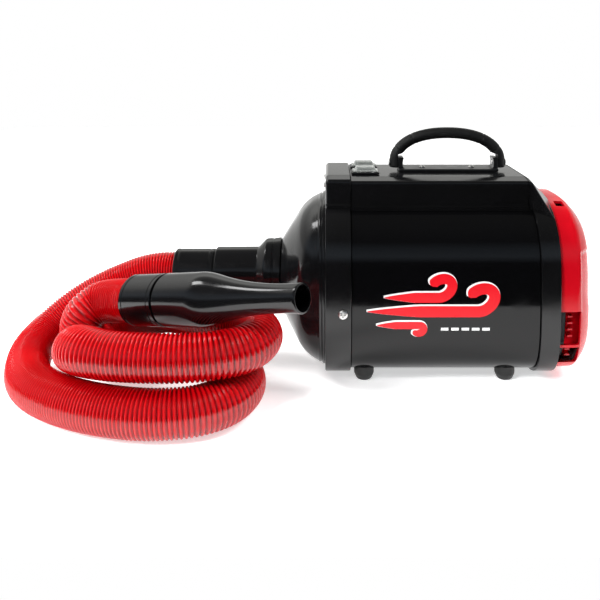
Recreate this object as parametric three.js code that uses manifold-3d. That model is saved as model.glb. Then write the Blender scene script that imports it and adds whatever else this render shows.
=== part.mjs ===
// Twin-motor forced-air pet dryer with its stretch hose and nozzle, built from separate parts.
// Units are millimetres, +Z is up, and the floor is Z = 0.
// X runs along the body, with the air outlet at -X and the air intake cap at +X.
// The origin is on the floor, under the middle of the machine (measured without the hose).
import * as THREE from "three";
import { mergeVertices } from "three/addons/utils/BufferGeometryUtils.js";
import Module from "manifold-3d";

const wasm = await Module();
wasm.setup();

// ---------------------------------------------------------------- driving dimensions
const GAP = 0.3; // between parts that meet
const AXIS_HEIGHT = 99; // body, motors and air outlet share this axis
const RING_SIDES = 36;
const ROUND_SIDES = 24;
const MOTOR_SIDES = 18;
const SMALL_SIDES = 8;
const SIDES = [
  { name: "left", y: -1 },
  { name: "right", y: 1 },
];
const ENDS = [
  { name: "front", x: -34 },
  { name: "rear", x: 122 },
];

// body section: a rounded square, 1 = half its width
const SECTION = { up: 1, down: 0.97, topPower: 2.8, bottomPower: 3.8 };
const FRAME_SIZE = 100; // half width of the front band and the rear ring
const BARREL = { start: -48.7, end: 151.7, size: 97, wall: 2 };
const BAND = { start: -77, end: -49, wall: 6.5 };
const RING = { start: 152, end: 173, wall: 5, ledgeStart: 160, ledgeEnd: 162, ledge: 16, seat: 7 };
// where the deck's ramp runs out on the rear ring's shoulders
const RAMP_FOOT = { side: 76, top: 178.5 };
const DECK = {
  start: BAND.end + GAP, end: 148, side: 60, sideTop: 218, flat: 44, top: 221, wall: 2.5, foot: 176,
};
const DECK_BLOCK = { side: 62, sideTop: 220, flat: 46, top: 223, face: 3 };
const WIRING_SLOT = { start: -10, end: 30, side: 12 };

// outer stations of the nose: distance along X, half size, and how round the section is
const NOSE = {
  sleeveEnd: -52, size: 93, wall: 2.5, lip: 1.4, neckStart: -128.2, neckEnd: -142, neckRadius: 37.2,
};
const NOSE_STATIONS = [
  [-77, 93, 0], [-80, 93, 0], [-80.6, 91, 0], [-83, 91, 0.02], [-85.5, 90, 0.04], [-95, 85, 0.15],
  [-104, 77.5, 0.32], [-114, 63.5, 0.57], [-123, 49.5, 0.85], [-127.5, 42, 1],
  [NOSE.neckStart, NOSE.neckRadius, 1], [NOSE.neckEnd, NOSE.neckRadius, 1],
];
const SPIGOT = { start: -207, end: -129, radius: 29, bore: 27, collar: 40.5, collarBore: 37.7, throat: 36 };
const CUFF = { radius: 27, bore: 22, insert: 26.6, length: 48, insertLength: 32 };
const HOSE = { radius: 23, sides: 10, steps: 80 };
const NOZZLE_CUFF = { radius: 27, bore: 21.5, insert: 24.4, length: 50, insertLength: 22 };
const NOZZLE = { base: [-237.8, -112.7, 104.6], direction: [0.827, -0.528, 0.195] };
// nozzle outline as distance from its base, outer radius and wall thickness
const NOZZLE_STATIONS = [
  [0, 27, 2.2], [50, 27, 2.2], [57, 26.2, 2.2], [65, 24.6, 2.1], [74, 22.5, 2], [84, 20.2, 2], [96, 17.8, 2],
  [114, 15.3, 1.9], [134, 13.8, 1.8], [155, 13.4, 1.8], [171, 13.9, 1.7],
];

// cap outline as distance from its rim and half size, and its air windows as lowest and highest Z
const CAP = { start: RING.end + GAP, wall: 2.5, windowEnd: 22.2, notchY: 44, notchHalf: 6, notch: [8, 18] };
const CAP_STATIONS = [[0, 96], [20, 95.4], [24.5, 92.8], [32, 85.5], [36.5, 79], [37.7, 76]];
const CAP_WINDOWS = [[25, 45], [48, 85]];
const GRILLE = { thickness: 2, rows: 6, pitch: 11, slotHalf: 3.5, ribHalf: 3, reach: 76 };
const FOAM = { size: 89, end: CAP.start + 8 };

const FOOT = {
  y: 65, top: 24, radius: 11, bottomRadius: 8, recess: 4.5, recessDepth: 4, bore: 2.3, screwLength: 9,
};
const FOOT_SCREW = { head: 3.6, headHeight: 2 };
const SCREW = {
  shank: 1.9, hole: 2.3, head: 5.2, headHeight: 2.6, smallHead: 3.4, smallHeight: 1.8, length: 9,
};
const SIDE_SCREW = { x: -58, z: 84, length: 14 };
const DECK_SCREW = { y: 28, z: 209 };

// sizes of the rocker switches are [along X, along Y, along Z]
const SWITCH = {
  x: -31, y: 20.5, bezel: [32, 25, 2.5], body: [27, 20, 19], pocket: [25.8, 15.6, 8.5], tab: [0.8, 6, 4.5],
  tabPitch: 8,
};
const ROCKER = {
  length: 12.2, width: 7.4, pivotHeight: 219.6, tilt: 8, horn: 3.4, valley: 1.4, belly: 0.92,
};
const HOOD = { base: [29, 22], top: [21, 14], height: 5, wall: 1.2 };
const GLAND = { x: 120, z: 206, hole: 7, bore: 3.6, body: 6, flange: 9.5 };
const TERMINALS = { start: 62, end: 92, side: 9, bottom: 201, top: 209, posts: [67, 77, 87], postRadius: 3 };

const HANDLE = {
  centre: 67.3, halfSpan: 61.2, spring: 232, rise: 33.6, power: 2.2,
  legEnd: 224.5, radius: 6.75, clearance: 12.2, clearanceEnd: 24, steps: 30, bore: 3.1,
};
const BRACKET = {
  start: 9, plateSide: 14, earSide: 9, earTop: 237.5, plateTop: 224.5, earWidth: 5, fillet: 8,
  screws: [38, 96],
};
const PIVOT = { height: 230.5, pin: 2.7, head: 4.3, headHeight: 1.2 };

const MOTOR = {
  y: 47, shaft: 4, armature: 17, fieldInner: 18, fieldOuter: 31, can: 42, canStart: 62, canEnd: 104,
  wall: 1.5, inlet: 16, impeller: 38, blades: 7, bracketRadius: 37,
};
const BULKHEAD = { start: 76, end: 80, size: 94.2, hole: 45.8 };
const GASKET = { start: 73, end: 83, outer: 45.4, inner: 42.4 };
const LINER = { start: -45, end: 58, outer: 94.4, inner: 88.4 };

// ---------------------------------------------------------------- materials
const finish = (color, roughness, metalness = 0) => (
  new THREE.MeshStandardMaterial({ color, roughness, metalness }));
const MATERIALS = {
  glossBlack: finish(0x0b0b0c, 0.18),
  satinBlack: finish(0x161616, 0.45),
  red: finish(0xc80a1c, 0.3),
  rubber: finish(0x101010, 0.8),
  clear: finish(0xdfe6e8, 0.1),
  steel: finish(0xb9bbbd, 0.3, 1),
  copper: finish(0xa8602c, 0.4, 1),
  foam: finish(0x1c1c1e, 0.95),
  aluminium: finish(0xa9acb0, 0.4, 1),
};

// ---------------------------------------------------------------- geometry helpers
// Keeps only positions and merges shared corners, so that the surface is one closed skin.
function weld(geometry) {
  const bare = geometry.clone();
  bare.deleteAttribute("normal");
  bare.deleteAttribute("uv");
  return mergeVertices(bare, 1e-4);
}

function solid(geometry) {
  const welded = weld(geometry);
  return new wasm.Manifold(new wasm.Mesh({
    numProp: 3,
    vertProperties: new Float32Array(welded.attributes.position.array),
    triVerts: new Uint32Array(welded.index.array),
  }));
}

function fromSolid(body) {
  const mesh = body.getMesh();
  const geometry = new THREE.BufferGeometry();
  geometry.setAttribute("position", new THREE.Float32BufferAttribute(mesh.vertProperties, 3));
  geometry.setIndex(Array.from(mesh.triVerts));
  return geometry;
}

const union = (first, ...others) => others.reduce((sum, next) => sum.add(next), first);
const cut = (first, ...others) => others.reduce((rest, next) => rest.subtract(next), first);

function signedVolume(points, faces) {
  let volume = 0;
  for (const [a, b, c] of faces) {
    volume += points[a].dot(points[b].clone().cross(points[c]));
  }
  return volume;
}

// Joins rings of equal length into a closed surface. The two end rings are filled with fans,
// or, when the loop is closed, the last ring joins the first one.
function loft(rings, closedLoop = false) {
  const count = rings[0].length;
  const points = rings.flat();
  const faces = [];
  const bands = closedLoop ? rings.length : rings.length - 1;
  for (let band = 0; band < bands; band++) {
    const from = band * count;
    const to = ((band + 1) % rings.length) * count;
    for (let side = 0; side < count; side++) {
      const next = (side + 1) % count;
      faces.push([from + side, from + next, to + next], [from + side, to + next, to + side]);
    }
  }
  if (!closedLoop) {
    const fan = (ring, start, flip) => {
      const middle = ring.reduce((sum, point) => sum.add(point), new THREE.Vector3()).divideScalar(count);
      const hub = points.push(middle) - 1;
      for (let side = 0; side < count; side++) {
        const edge = [start + side, start + ((side + 1) % count)];
        faces.push(flip ? [hub, edge[1], edge[0]] : [hub, edge[0], edge[1]]);
      }
    };
    fan(rings[0], 0, true);
    fan(rings.at(-1), (rings.length - 1) * count, false);
  }
  const outward = signedVolume(points, faces) > 0;
  const geometry = new THREE.BufferGeometry();
  const numbers = points.flatMap((point) => point.toArray());
  geometry.setAttribute("position", new THREE.Float32BufferAttribute(numbers, 3));
  geometry.setIndex(faces.flatMap(([a, b, c]) => (outward ? [a, b, c] : [a, c, b])));
  return geometry;
}

// A section of the body at x, with the given half width. round = 1 makes it a circle.
function section(x, size, round = 0) {
  const ring = [];
  for (let step = 0; step < RING_SIDES; step++) {
    const angle = (2 * Math.PI * step) / RING_SIDES;
    const across = Math.cos(angle);
    const upward = Math.sin(angle);
    const top = upward >= 0;
    const power = THREE.MathUtils.lerp(top ? SECTION.topPower : SECTION.bottomPower, 2, round);
    const height = size * THREE.MathUtils.lerp(top ? SECTION.up : SECTION.down, 1, round);
    const y = size * Math.sign(across) * Math.abs(across) ** (2 / power);
    const z = height * Math.sign(upward) * Math.abs(upward) ** (2 / power);
    ring.push(new THREE.Vector3(x, y, AXIS_HEIGHT + z));
  }
  return ring;
}

const bodySlab = (x0, x1, size) => solid(loft([section(x0, size), section(x1, size)]));

// A prism along X from a convex outline of [y, z] points.
function prismX(outline, x0, x1) {
  const ring = (x) => outline.map(([y, z]) => new THREE.Vector3(x, y, z));
  return solid(loft([ring(x0), ring(x1)]));
}

// A prism along Y from an outline of [x, z] points.
function prismY(outline, y0, y1) {
  const shape = new THREE.Shape(outline.map(([x, z]) => new THREE.Vector2(x, z)));
  const geometry = new THREE.ExtrudeGeometry(shape, { depth: y1 - y0, bevelEnabled: false });
  geometry.rotateX(Math.PI / 2);
  geometry.translate(0, y1, 0);
  return solid(geometry);
}

function box(x0, x1, y0, y1, z0, z1) {
  const geometry = new THREE.BoxGeometry(x1 - x0, y1 - y0, z1 - z0);
  geometry.translate((x0 + x1) / 2, (y0 + y1) / 2, (z0 + z1) / 2);
  return solid(geometry);
}

// A solid of revolution about X from [x, radius] points. closed joins the last point to the first.
function turned(profile, sides, closed = false) {
  const points = profile.map(([x, radius]) => new THREE.Vector2(radius, x));
  if (closed) {
    points.push(points[0].clone());
  }
  const geometry = new THREE.LatheGeometry(points, sides);
  geometry.rotateZ(-Math.PI / 2);
  const welded = weld(geometry);
  const position = welded.attributes.position;
  const corners = [];
  for (let i = 0; i < position.count; i++) {
    corners.push(new THREE.Vector3().fromBufferAttribute(position, i));
  }
  const index = welded.index.array;
  const faces = [];
  for (let i = 0; i < index.length; i += 3) {
    faces.push([index[i], index[i + 1], index[i + 2]]);
  }
  if (signedVolume(corners, faces) < 0) {
    welded.setIndex(faces.flatMap(([a, b, c]) => [a, c, b]));
  }
  return solid(welded);
}

const tube = (x0, x1, outer, inner, sides) => turned([
  [x0, inner], [x0, outer], [x1, outer], [x1, inner],
], sides, true);
const rod = (x0, x1, radius, sides = SMALL_SIDES) => turned([
  [x0, 0], [x0, radius], [x1, radius], [x1, 0],
], sides);

// A pan-head screw about X, its head's underside at x = 0 and its shank running to +X.
function panScrew(length, head, headHeight) {
  const shoulder = head * 0.75;
  const slotHalf = head * 0.14;
  const body = turned([
    [-headHeight, 0], [-headHeight, shoulder], [-headHeight * 0.55, head], [0, head],
    [0, SCREW.shank], [length, SCREW.shank], [length, 0],
  ], SMALL_SIDES);
  const reach = head * 0.55;
  const depth = headHeight * 0.5;
  const slotA = box(-headHeight - 1, -headHeight + depth, -reach, reach, -slotHalf, slotHalf);
  const slotB = box(-headHeight - 1, -headHeight + depth, -slotHalf, slotHalf, -reach, reach);
  return cut(body, slotA, slotB);
}

const dryer = new THREE.Group();

function part(name, shape, material, parent = dryer) {
  const geometry = shape.isBufferGeometry ? shape : fromSolid(shape);
  const mesh = new THREE.Mesh(geometry, material);
  mesh.name = name;
  parent.add(mesh);
  return mesh;
}

// Drills along an axis: the returned solid is a rod about X, turned and moved into place.
const aimY = (shape, side) => shape.rotate([0, 0, 90 * side]);
const aimUp = (shape) => shape.rotate([0, -90, 0]);
const aimDown = (shape) => shape.rotate([0, 90, 0]);

// ---------------------------------------------------------------- body shells
const barrelCore = bodySlab(BARREL.start - 40, BARREL.end + 40, BARREL.size + GAP);

function footHoles() {
  const holes = [];
  for (const end of ENDS) {
    for (const side of SIDES) {
      holes.push(aimUp(rod(0, FOOT.top + 20, SCREW.hole)).translate([end.x, side.y * FOOT.y, 0]));
    }
  }
  return holes;
}

function barrelShell() {
  const inner = BARREL.size - BARREL.wall;
  const shell = solid(loft([
    section(BARREL.start, BARREL.size), section(BARREL.end, BARREL.size),
    section(BARREL.end, inner), section(BARREL.start, inner),
  ], true));
  const { start, end, side } = WIRING_SLOT;
  const wiringSlot = box(start, end, -side, side, AXIS_HEIGHT, DECK.top);
  return cut(shell, wiringSlot, ...footHoles());
}

const deckOutline = ({ side, sideTop, flat, top }, inset, foot) => [
  [-side + inset, foot], [side - inset, foot],
  [side - inset, sideTop - inset * 0.6], [flat - inset * 0.5, top - inset],
  [-flat + inset * 0.5, top - inset], [-side + inset, sideTop - inset * 0.6],
];

const sideScrewHole = (side, reach) => aimY(rod(-20, reach, SCREW.hole), -side.y)
  .translate([SIDE_SCREW.x, side.y * FRAME_SIZE, SIDE_SCREW.z]);

const deckScrewPlaces = SIDES.map((side) => [BAND.start, side.y * DECK_SCREW.y, DECK_SCREW.z]);

function frontBand() {
  const inner = FRAME_SIZE - BAND.wall;
  const hoop = solid(loft([
    section(BAND.start, FRAME_SIZE), section(BAND.end, FRAME_SIZE),
    section(BAND.end, inner), section(BAND.start, inner),
  ], true));
  const block = cut(
    prismX(deckOutline(DECK_BLOCK, 0, DECK.foot), BAND.start, BAND.end),
    prismX(deckOutline(DECK_BLOCK, DECK.wall, DECK.foot - 1), BAND.start + DECK_BLOCK.face, BAND.end + 1),
    bodySlab(BAND.start - 1, BAND.end + 1, FRAME_SIZE - 1),
  );
  const holes = SIDES.map((side) => sideScrewHole(side, 20));
  const deckHoles = deckScrewPlaces.map((place) => rod(-2, 10, SCREW.hole).translate(place));
  return cut(union(hoop, block), ...holes, ...deckHoles);
}

const switchPlace = (side) => [SWITCH.x, side.y * SWITCH.y, DECK.top + GAP];
const glandPlace = [GLAND.x, DECK.side, GLAND.z];
const bracketScrewPlaces = BRACKET.screws.map((x) => [x, 0, BRACKET.plateTop]);
const bracketScrewHoles = () => bracketScrewPlaces.map(([x, y, z]) => aimUp(rod(-25, 15, SCREW.hole))
  .translate([x, y, z]));

function deckCover() {
  const [length, width] = SWITCH.body;
  const openings = SIDES.map((side) => {
    const [x, y] = switchPlace(side);
    const half = [length / 2 + GAP, width / 2 + GAP];
    return box(x - half[0], x + half[0], y - half[1], y + half[1], DECK.top - 10, DECK.top + 5);
  });
  const glandHole = aimY(rod(-10, 10, GLAND.hole), 1).translate(glandPlace);
  return cut(
    prismX(deckOutline(DECK, 0, DECK.foot), DECK.start, DECK.end),
    prismX(deckOutline(DECK, DECK.wall, DECK.foot - 1), DECK.start - 1, DECK.end + 1),
    barrelCore, ...openings, ...bracketScrewHoles(), glandHole,
  );
}

function rearRing() {
  const inner = FRAME_SIZE - RING.wall;
  const ledge = FRAME_SIZE - RING.ledge;
  const seat = FRAME_SIZE - RING.seat;
  const hoop = solid(loft([
    section(RING.start, FRAME_SIZE), section(RING.end, FRAME_SIZE), section(RING.end, seat),
    section(RING.ledgeEnd, seat), section(RING.ledgeEnd, ledge), section(RING.ledgeStart, ledge),
    section(RING.ledgeStart, inner), section(RING.start, inner),
  ], true));
  const crown = AXIS_HEIGHT + FRAME_SIZE;
  const ring = (x, top, sideTop, side) => [
    [-side, DECK.foot], [side, DECK.foot], [side, sideTop], [DECK.flat, top], [-DECK.flat, top], [-side, sideTop],
  ].map(([y, z]) => new THREE.Vector3(x, y, z));
  const ramp = solid(loft([
    ring(DECK.end + GAP, DECK.top, DECK.sideTop, DECK.side),
    ring(RING.start, DECK.top - 2, DECK.sideTop - 1, DECK.side),
    ring(RING.end, crown - 2, RAMP_FOOT.top, RAMP_FOOT.side),
  ]));
  const bodyRoom = bodySlab(RING.start - 10, RING.end + 1, FRAME_SIZE - 1);
  return union(hoop, cut(ramp, bodyRoom));
}

function rearCap() {
  const { start, wall, windowEnd, notchY, notchHalf, notch } = CAP;
  const outer = CAP_STATIONS.map(([x, size]) => section(start + x, size));
  const inner = CAP_STATIONS.map(([x, size]) => section(start + x - (x > 0 ? wall : 0), size - wall));
  const shell = solid(loft([...inner.reverse(), ...outer]));
  const windows = [];
  for (const side of SIDES) {
    const y = [side.y * 60, side.y * 110].sort((a, b) => a - b);
    for (const [low, high] of CAP_WINDOWS) {
      windows.push(box(start - 2, start + windowEnd, y[0], y[1], low, high));
    }
    const middle = side.y * notchY;
    windows.push(box(start + notch[0], start + notch[1], middle - notchHalf, middle + notchHalf, 150, 220));
  }
  return cut(shell, ...windows);
}

function filterGrille() {
  const { thickness, rows, pitch, slotHalf, ribHalf, reach } = GRILLE;
  const start = RING.ledgeEnd + GAP;
  const slots = [];
  for (let row = -rows; row <= rows; row++) {
    const height = row * pitch;
    const end = Math.sqrt(reach ** 2 - height ** 2);
    const z = [AXIS_HEIGHT + height - slotHalf, AXIS_HEIGHT + height + slotHalf];
    slots.push(box(start - 1, start + thickness + 1, -end, -ribHalf, ...z));
    slots.push(box(start - 1, start + thickness + 1, ribHalf, end, ...z));
  }
  return cut(bodySlab(start, start + thickness, FRAME_SIZE - RING.seat - 2 * GAP), ...slots);
}

function noseCone() {
  const outer = NOSE_STATIONS.map(([x, size, round]) => section(x, size, round));
  const shift = NOSE.wall * 0.8;
  const inner = NOSE_STATIONS
    .filter(([x]) => x < NOSE_STATIONS[3][0] - 1)
    .map(([x, size, round]) => section(x > NOSE.neckStart ? x + shift : x, size - NOSE.wall, round));
  const sleeve = section(NOSE.sleeveEnd, NOSE.size, 0);
  const sleeveInner = section(NOSE.sleeveEnd, NOSE.size - NOSE.wall, 0);
  const shoulderInner = section(BAND.start - 1, NOSE.size - NOSE.wall - NOSE.lip, 0);
  const shell = solid(loft([sleeve, ...outer, ...inner.reverse(), shoulderInner, sleeveInner], true));
  const holes = SIDES.map((side) => sideScrewHole(side, 20));
  return cut(shell, ...holes);
}

function outletSpigot() {
  const { start, end, radius, bore, collar, collarBore, throat } = SPIGOT;
  const seat = NOSE.neckEnd - 1;
  return turned([
    [start, radius], [seat - 14, radius + 0.5], [seat - 6.5, collar - 3.3], [seat - 4, collar - 1.3],
    [seat - 0.5, collar - 0.5], [end, collar], [end, collarBore], [seat, collarBore],
    [seat, throat], [seat - 13, bore], [start, bore],
  ], ROUND_SIDES, true).translate([0, 0, AXIS_HEIGHT]);
}

part("barrel_shell", barrelShell(), MATERIALS.glossBlack);
part("front_band", frontBand(), MATERIALS.glossBlack);
part("deck_cover", deckCover(), MATERIALS.glossBlack);
part("rear_ring", rearRing(), MATERIALS.glossBlack);
part("rear_cap", rearCap(), MATERIALS.red);
part("filter_grille", filterGrille(), MATERIALS.satinBlack);
const foamStart = RING.ledgeEnd + GRILLE.thickness + 2 * GAP;
part("foam_filter", bodySlab(foamStart, FOAM.end, FOAM.size), MATERIALS.foam);
part("nose_cone", noseCone(), MATERIALS.glossBlack);
part("outlet_spigot", outletSpigot(), MATERIALS.glossBlack);

// ---------------------------------------------------------------- feet and screws
function foot(end, side) {
  const { top, radius, bottomRadius } = FOOT;
  const block = aimUp(turned([
    [0, 0], [0, bottomRadius], [1.5, bottomRadius + 1], [6, radius], [top, radius], [top, 0],
  ], ROUND_SIDES / 2));
  const recess = aimUp(rod(-1, FOOT.recessDepth, FOOT.recess));
  const bore = aimUp(rod(-1, top + 1, FOOT.bore));
  return cut(cut(block, recess, bore).translate([end.x, side.y * FOOT.y, 0]), barrelCore);
}

for (const end of ENDS) {
  for (const side of SIDES) {
    part(`foot_${end.name}_${side.name}`, foot(end, side), MATERIALS.rubber);
    const screw = aimUp(panScrew(FOOT.screwLength, FOOT_SCREW.head, FOOT_SCREW.headHeight))
      .translate([end.x, side.y * FOOT.y, FOOT.recessDepth - GAP]);
    part(`foot_screw_${end.name}_${side.name}`, screw, MATERIALS.steel);
  }
}
for (const side of SIDES) {
  const screw = aimY(panScrew(SIDE_SCREW.length, SCREW.head, SCREW.headHeight), -side.y)
    .translate([SIDE_SCREW.x, side.y * (FRAME_SIZE + GAP), SIDE_SCREW.z]);
  part(`side_screw_${side.name}`, screw, MATERIALS.steel);
}
deckScrewPlaces.forEach(([x, y, z], i) => {
  const screw = panScrew(SCREW.length, SCREW.smallHead, SCREW.smallHeight).translate([x - GAP, y, z]);
  part(`deck_screw_${SIDES[i].name}`, screw, MATERIALS.steel);
});

// ---------------------------------------------------------------- switches
function switchBody(side) {
  const [x, y, z] = switchPlace(side);
  const slab = ([length, width, height], top, shift = 0) => box(
    x + shift - length / 2, x + shift + length / 2, y - width / 2, y + width / 2, top - height, top);
  const { bezel, body, pocket, tab, tabPitch } = SWITCH;
  const bezelTop = z + bezel[2];
  const tabs = [-tabPitch, 0, tabPitch].map((shift) => slab(tab, z - body[2] + 1, shift));
  const block = union(slab(bezel, bezelTop), slab(body, z + 0.5), ...tabs);
  return cut(block, slab(pocket, bezelTop + 0.1));
}

function rocker(side) {
  const { length, width, tilt, pivotHeight, horn, valley, belly } = ROCKER;
  const arc = [];
  for (let step = 0; step <= 6; step++) {
    const angle = Math.PI + (Math.PI * step) / 6;
    arc.push([length * belly * Math.cos(angle), -1 + 2.6 * Math.sin(angle)]);
  }
  const paddle = prismY([[length, horn], [0, valley], [-length, horn], ...arc], -width, width);
  return paddle.rotate([0, tilt, 0]).translate([SWITCH.x, side.y * SWITCH.y, pivotHeight]);
}

function switchHood(side) {
  const [x, y, z] = switchPlace(side);
  const bottom = z + SWITCH.bezel[2] + GAP;
  const corners = [[1, 1], [-1, 1], [-1, -1], [1, -1]];
  const ring = ([length, width], height, inset) => corners.map(([sx, sy]) => new THREE.Vector3(
    x + sx * (length / 2 - inset), y + sy * (width / 2 - inset), height));
  return loft([
    ring(HOOD.top, bottom + HOOD.height - HOOD.wall, HOOD.wall), ring(HOOD.base, bottom, HOOD.wall),
    ring(HOOD.base, bottom, 0), ring(HOOD.top, bottom + HOOD.height, 0),
  ]);
}

for (const side of SIDES) {
  part(`switch_body_${side.name}`, switchBody(side), MATERIALS.satinBlack);
  part(`switch_rocker_${side.name}`, rocker(side), MATERIALS.satinBlack);
  part(`switch_hood_${side.name}`, switchHood(side), MATERIALS.clear);
}

function terminalBlock() {
  const { start, end, side, bottom, top, posts, postRadius } = TERMINALS;
  const studs = posts.map((x) => aimUp(rod(-0.5, 2.5, postRadius)).translate([x, 0, top]));
  return union(box(start, end, -side, side, bottom, top), ...studs);
}

function cordGland() {
  const { bore, body, flange } = GLAND;
  const profile = [
    [-6, bore], [12, bore], [12, body - 0.5], [9, body + 1], [3.5, body + 1.5], [3.5, flange], [GAP, flange],
    [GAP, body], [-6, body],
  ];
  return aimY(turned(profile, ROUND_SIDES / 2, true), 1).translate(glandPlace);
}

part("terminal_block", terminalBlock(), MATERIALS.satinBlack);
part("cord_gland", cordGland(), MATERIALS.rubber);

// ---------------------------------------------------------------- carrying handle
const mirrorX = (shape) => shape.scale([-1, 1, 1]).translate([2 * HANDLE.centre, 0, 0]);

function handleBracket() {
  const { start, plateSide, earSide, earTop, plateTop, earWidth, fillet } = BRACKET;
  const end = 2 * HANDLE.centre - start;
  const bottom = DECK.top + GAP;
  const plate = box(start, end, -plateSide, plateSide, bottom, plateTop);
  const inside = start + earWidth;
  const curve = [];
  for (let step = 0; step <= 6; step++) {
    const angle = (Math.PI / 2) * (step / 6);
    curve.push([inside + fillet * (1 - Math.cos(angle)), plateTop - 0.5 + fillet * (1 - Math.sin(angle))]);
  }
  const earOutline = [
    [start, bottom], [start, earTop], [inside, earTop], ...curve, [inside + fillet, bottom],
  ];
  const ear = prismY(earOutline, -earSide, earSide);
  const pinHole = rod(start - 5, end + 5, PIVOT.pin + GAP).translate([0, 0, PIVOT.height]);
  return cut(union(plate, ear, mirrorX(ear)), ...bracketScrewHoles(), pinHole);
}

function handleGrip() {
  const { centre, halfSpan, spring, rise, power, legEnd, radius, clearance, steps, bore } = HANDLE;
  const points = [new THREE.Vector3(centre - halfSpan, 0, legEnd)];
  const count = 24;
  for (let step = 0; step <= count; step++) {
    const angle = Math.PI * (1 - step / count);
    const across = Math.cos(angle);
    const x = centre + halfSpan * Math.sign(across) * Math.abs(across) ** (2 / power);
    points.push(new THREE.Vector3(x, 0, spring + rise * Math.sin(angle) ** (2 / power)));
  }
  points.push(new THREE.Vector3(centre + halfSpan, 0, legEnd));
  const outline = new THREE.Shape();
  outline.absarc(0, 0, radius, 0, 2 * Math.PI);
  const path = new THREE.CatmullRomCurve3(points, false, "centripetal");
  const bow = solid(new THREE.ExtrudeGeometry(outline, {
    steps, curveSegments: 6, extrudePath: path, bevelEnabled: false,
  }));
  const knuckle = rod(BRACKET.start - GAP, HANDLE.clearanceEnd, clearance, MOTOR_SIDES)
    .translate([0, 0, PIVOT.height]);
  const bores = rod(-5, 2 * centre + 5, bore, 16).translate([0, 0, PIVOT.height]);
  const cellar = box(-10, 2 * centre + 10, -20, 20, DECK.top - 10, legEnd);
  return cut(bow, knuckle, mirrorX(knuckle), bores, cellar);
}

function pivotPin() {
  const outside = HANDLE.centre - HANDLE.halfSpan - HANDLE.radius - GAP;
  const inside = BRACKET.start + BRACKET.earWidth + 0.5;
  return turned([
    [outside - PIVOT.headHeight, 0], [outside - PIVOT.headHeight, PIVOT.head - 1], [outside, PIVOT.head],
    [outside, PIVOT.pin], [inside, PIVOT.pin], [inside, 0],
  ], 16).translate([0, 0, PIVOT.height]);
}

part("handle_bracket", handleBracket(), MATERIALS.satinBlack);
part("handle_grip", handleGrip(), MATERIALS.rubber);
part("handle_pin_front", pivotPin(), MATERIALS.steel);
part("handle_pin_rear", mirrorX(pivotPin()), MATERIALS.steel);
bracketScrewPlaces.forEach(([x, y, z], i) => {
  const screw = aimDown(panScrew(SCREW.length, SCREW.smallHead, SCREW.smallHeight))
    .translate([x, y, z + GAP]);
  part(`bracket_screw_${ENDS[i].name}`, screw, MATERIALS.steel);
});

// ---------------------------------------------------------------- motors
function bulkhead() {
  const holes = SIDES.map((side) => rod(BULKHEAD.start - 5, BULKHEAD.end + 5, BULKHEAD.hole, ROUND_SIDES)
    .translate([0, side.y * MOTOR.y, AXIS_HEIGHT]));
  return cut(bodySlab(BULKHEAD.start, BULKHEAD.end, BULKHEAD.size), ...holes);
}

function fanHousing() {
  const { can, canStart, canEnd, wall, inlet, shaft } = MOTOR;
  return turned([
    [canStart, shaft + 20], [canStart, can], [canEnd, can], [canEnd, inlet], [canEnd - wall, inlet],
    [canEnd - wall, can - wall], [canStart + wall, can - wall], [canStart + wall, shaft + 20],
  ], MOTOR_SIDES, true);
}

function impeller() {
  const { canStart, impeller: radius, shaft, blades } = MOTOR;
  const back = tube(canStart + 6, canStart + 8, radius, shaft + GAP, MOTOR_SIDES);
  const hub = tube(canStart + 7, canStart + 30, shaft + 5, shaft + GAP, MOTOR_SIDES);
  const wheel = [];
  for (let blade = 0; blade < blades; blade++) {
    const turn = (360 * blade) / blades;
    wheel.push(box(canStart + 7, canStart + 32, -1, 1, shaft + 4, radius - 2).rotate([turn, 0, 0]));
  }
  return union(back, hub, ...wheel);
}

function armature() {
  const { shaft, armature: core } = MOTOR;
  return turned([
    [-4, 0], [-4, shaft], [6, shaft], [6, 11], [16, 11], [16, 14], [20, core], [50, core], [54, 13],
    [54, shaft], [99, shaft], [99, 0],
  ], MOTOR_SIDES);
}

function stator() {
  const { fieldInner, fieldOuter } = MOTOR;
  const stack = tube(22, 50, fieldOuter, fieldInner, MOTOR_SIDES);
  const coils = [];
  for (const side of SIDES) {
    coils.push(tube(17, 55, fieldOuter - 3, fieldInner + 2, MOTOR_SIDES)
      .intersect(box(10, 60, -14, 14, side.y > 0 ? 5 : -40, side.y > 0 ? 40 : -5)));
  }
  return union(stack, ...coils);
}

function endBracket() {
  const { bracketRadius, canStart, shaft } = MOTOR;
  const hub = tube(-5, 3, 11, shaft + GAP, MOTOR_SIDES);
  const bridge = cut(box(-4, 0, -bracketRadius, bracketRadius, -7, 7), rod(-6, 5, 10));
  const legs = SIDES.map((side) => {
    const y = [side.y * 33, side.y * bracketRadius].sort((a, b) => a - b);
    return box(-4, canStart - GAP, y[0], y[1], -7, 7);
  });
  return union(hub, bridge, ...legs);
}

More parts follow.
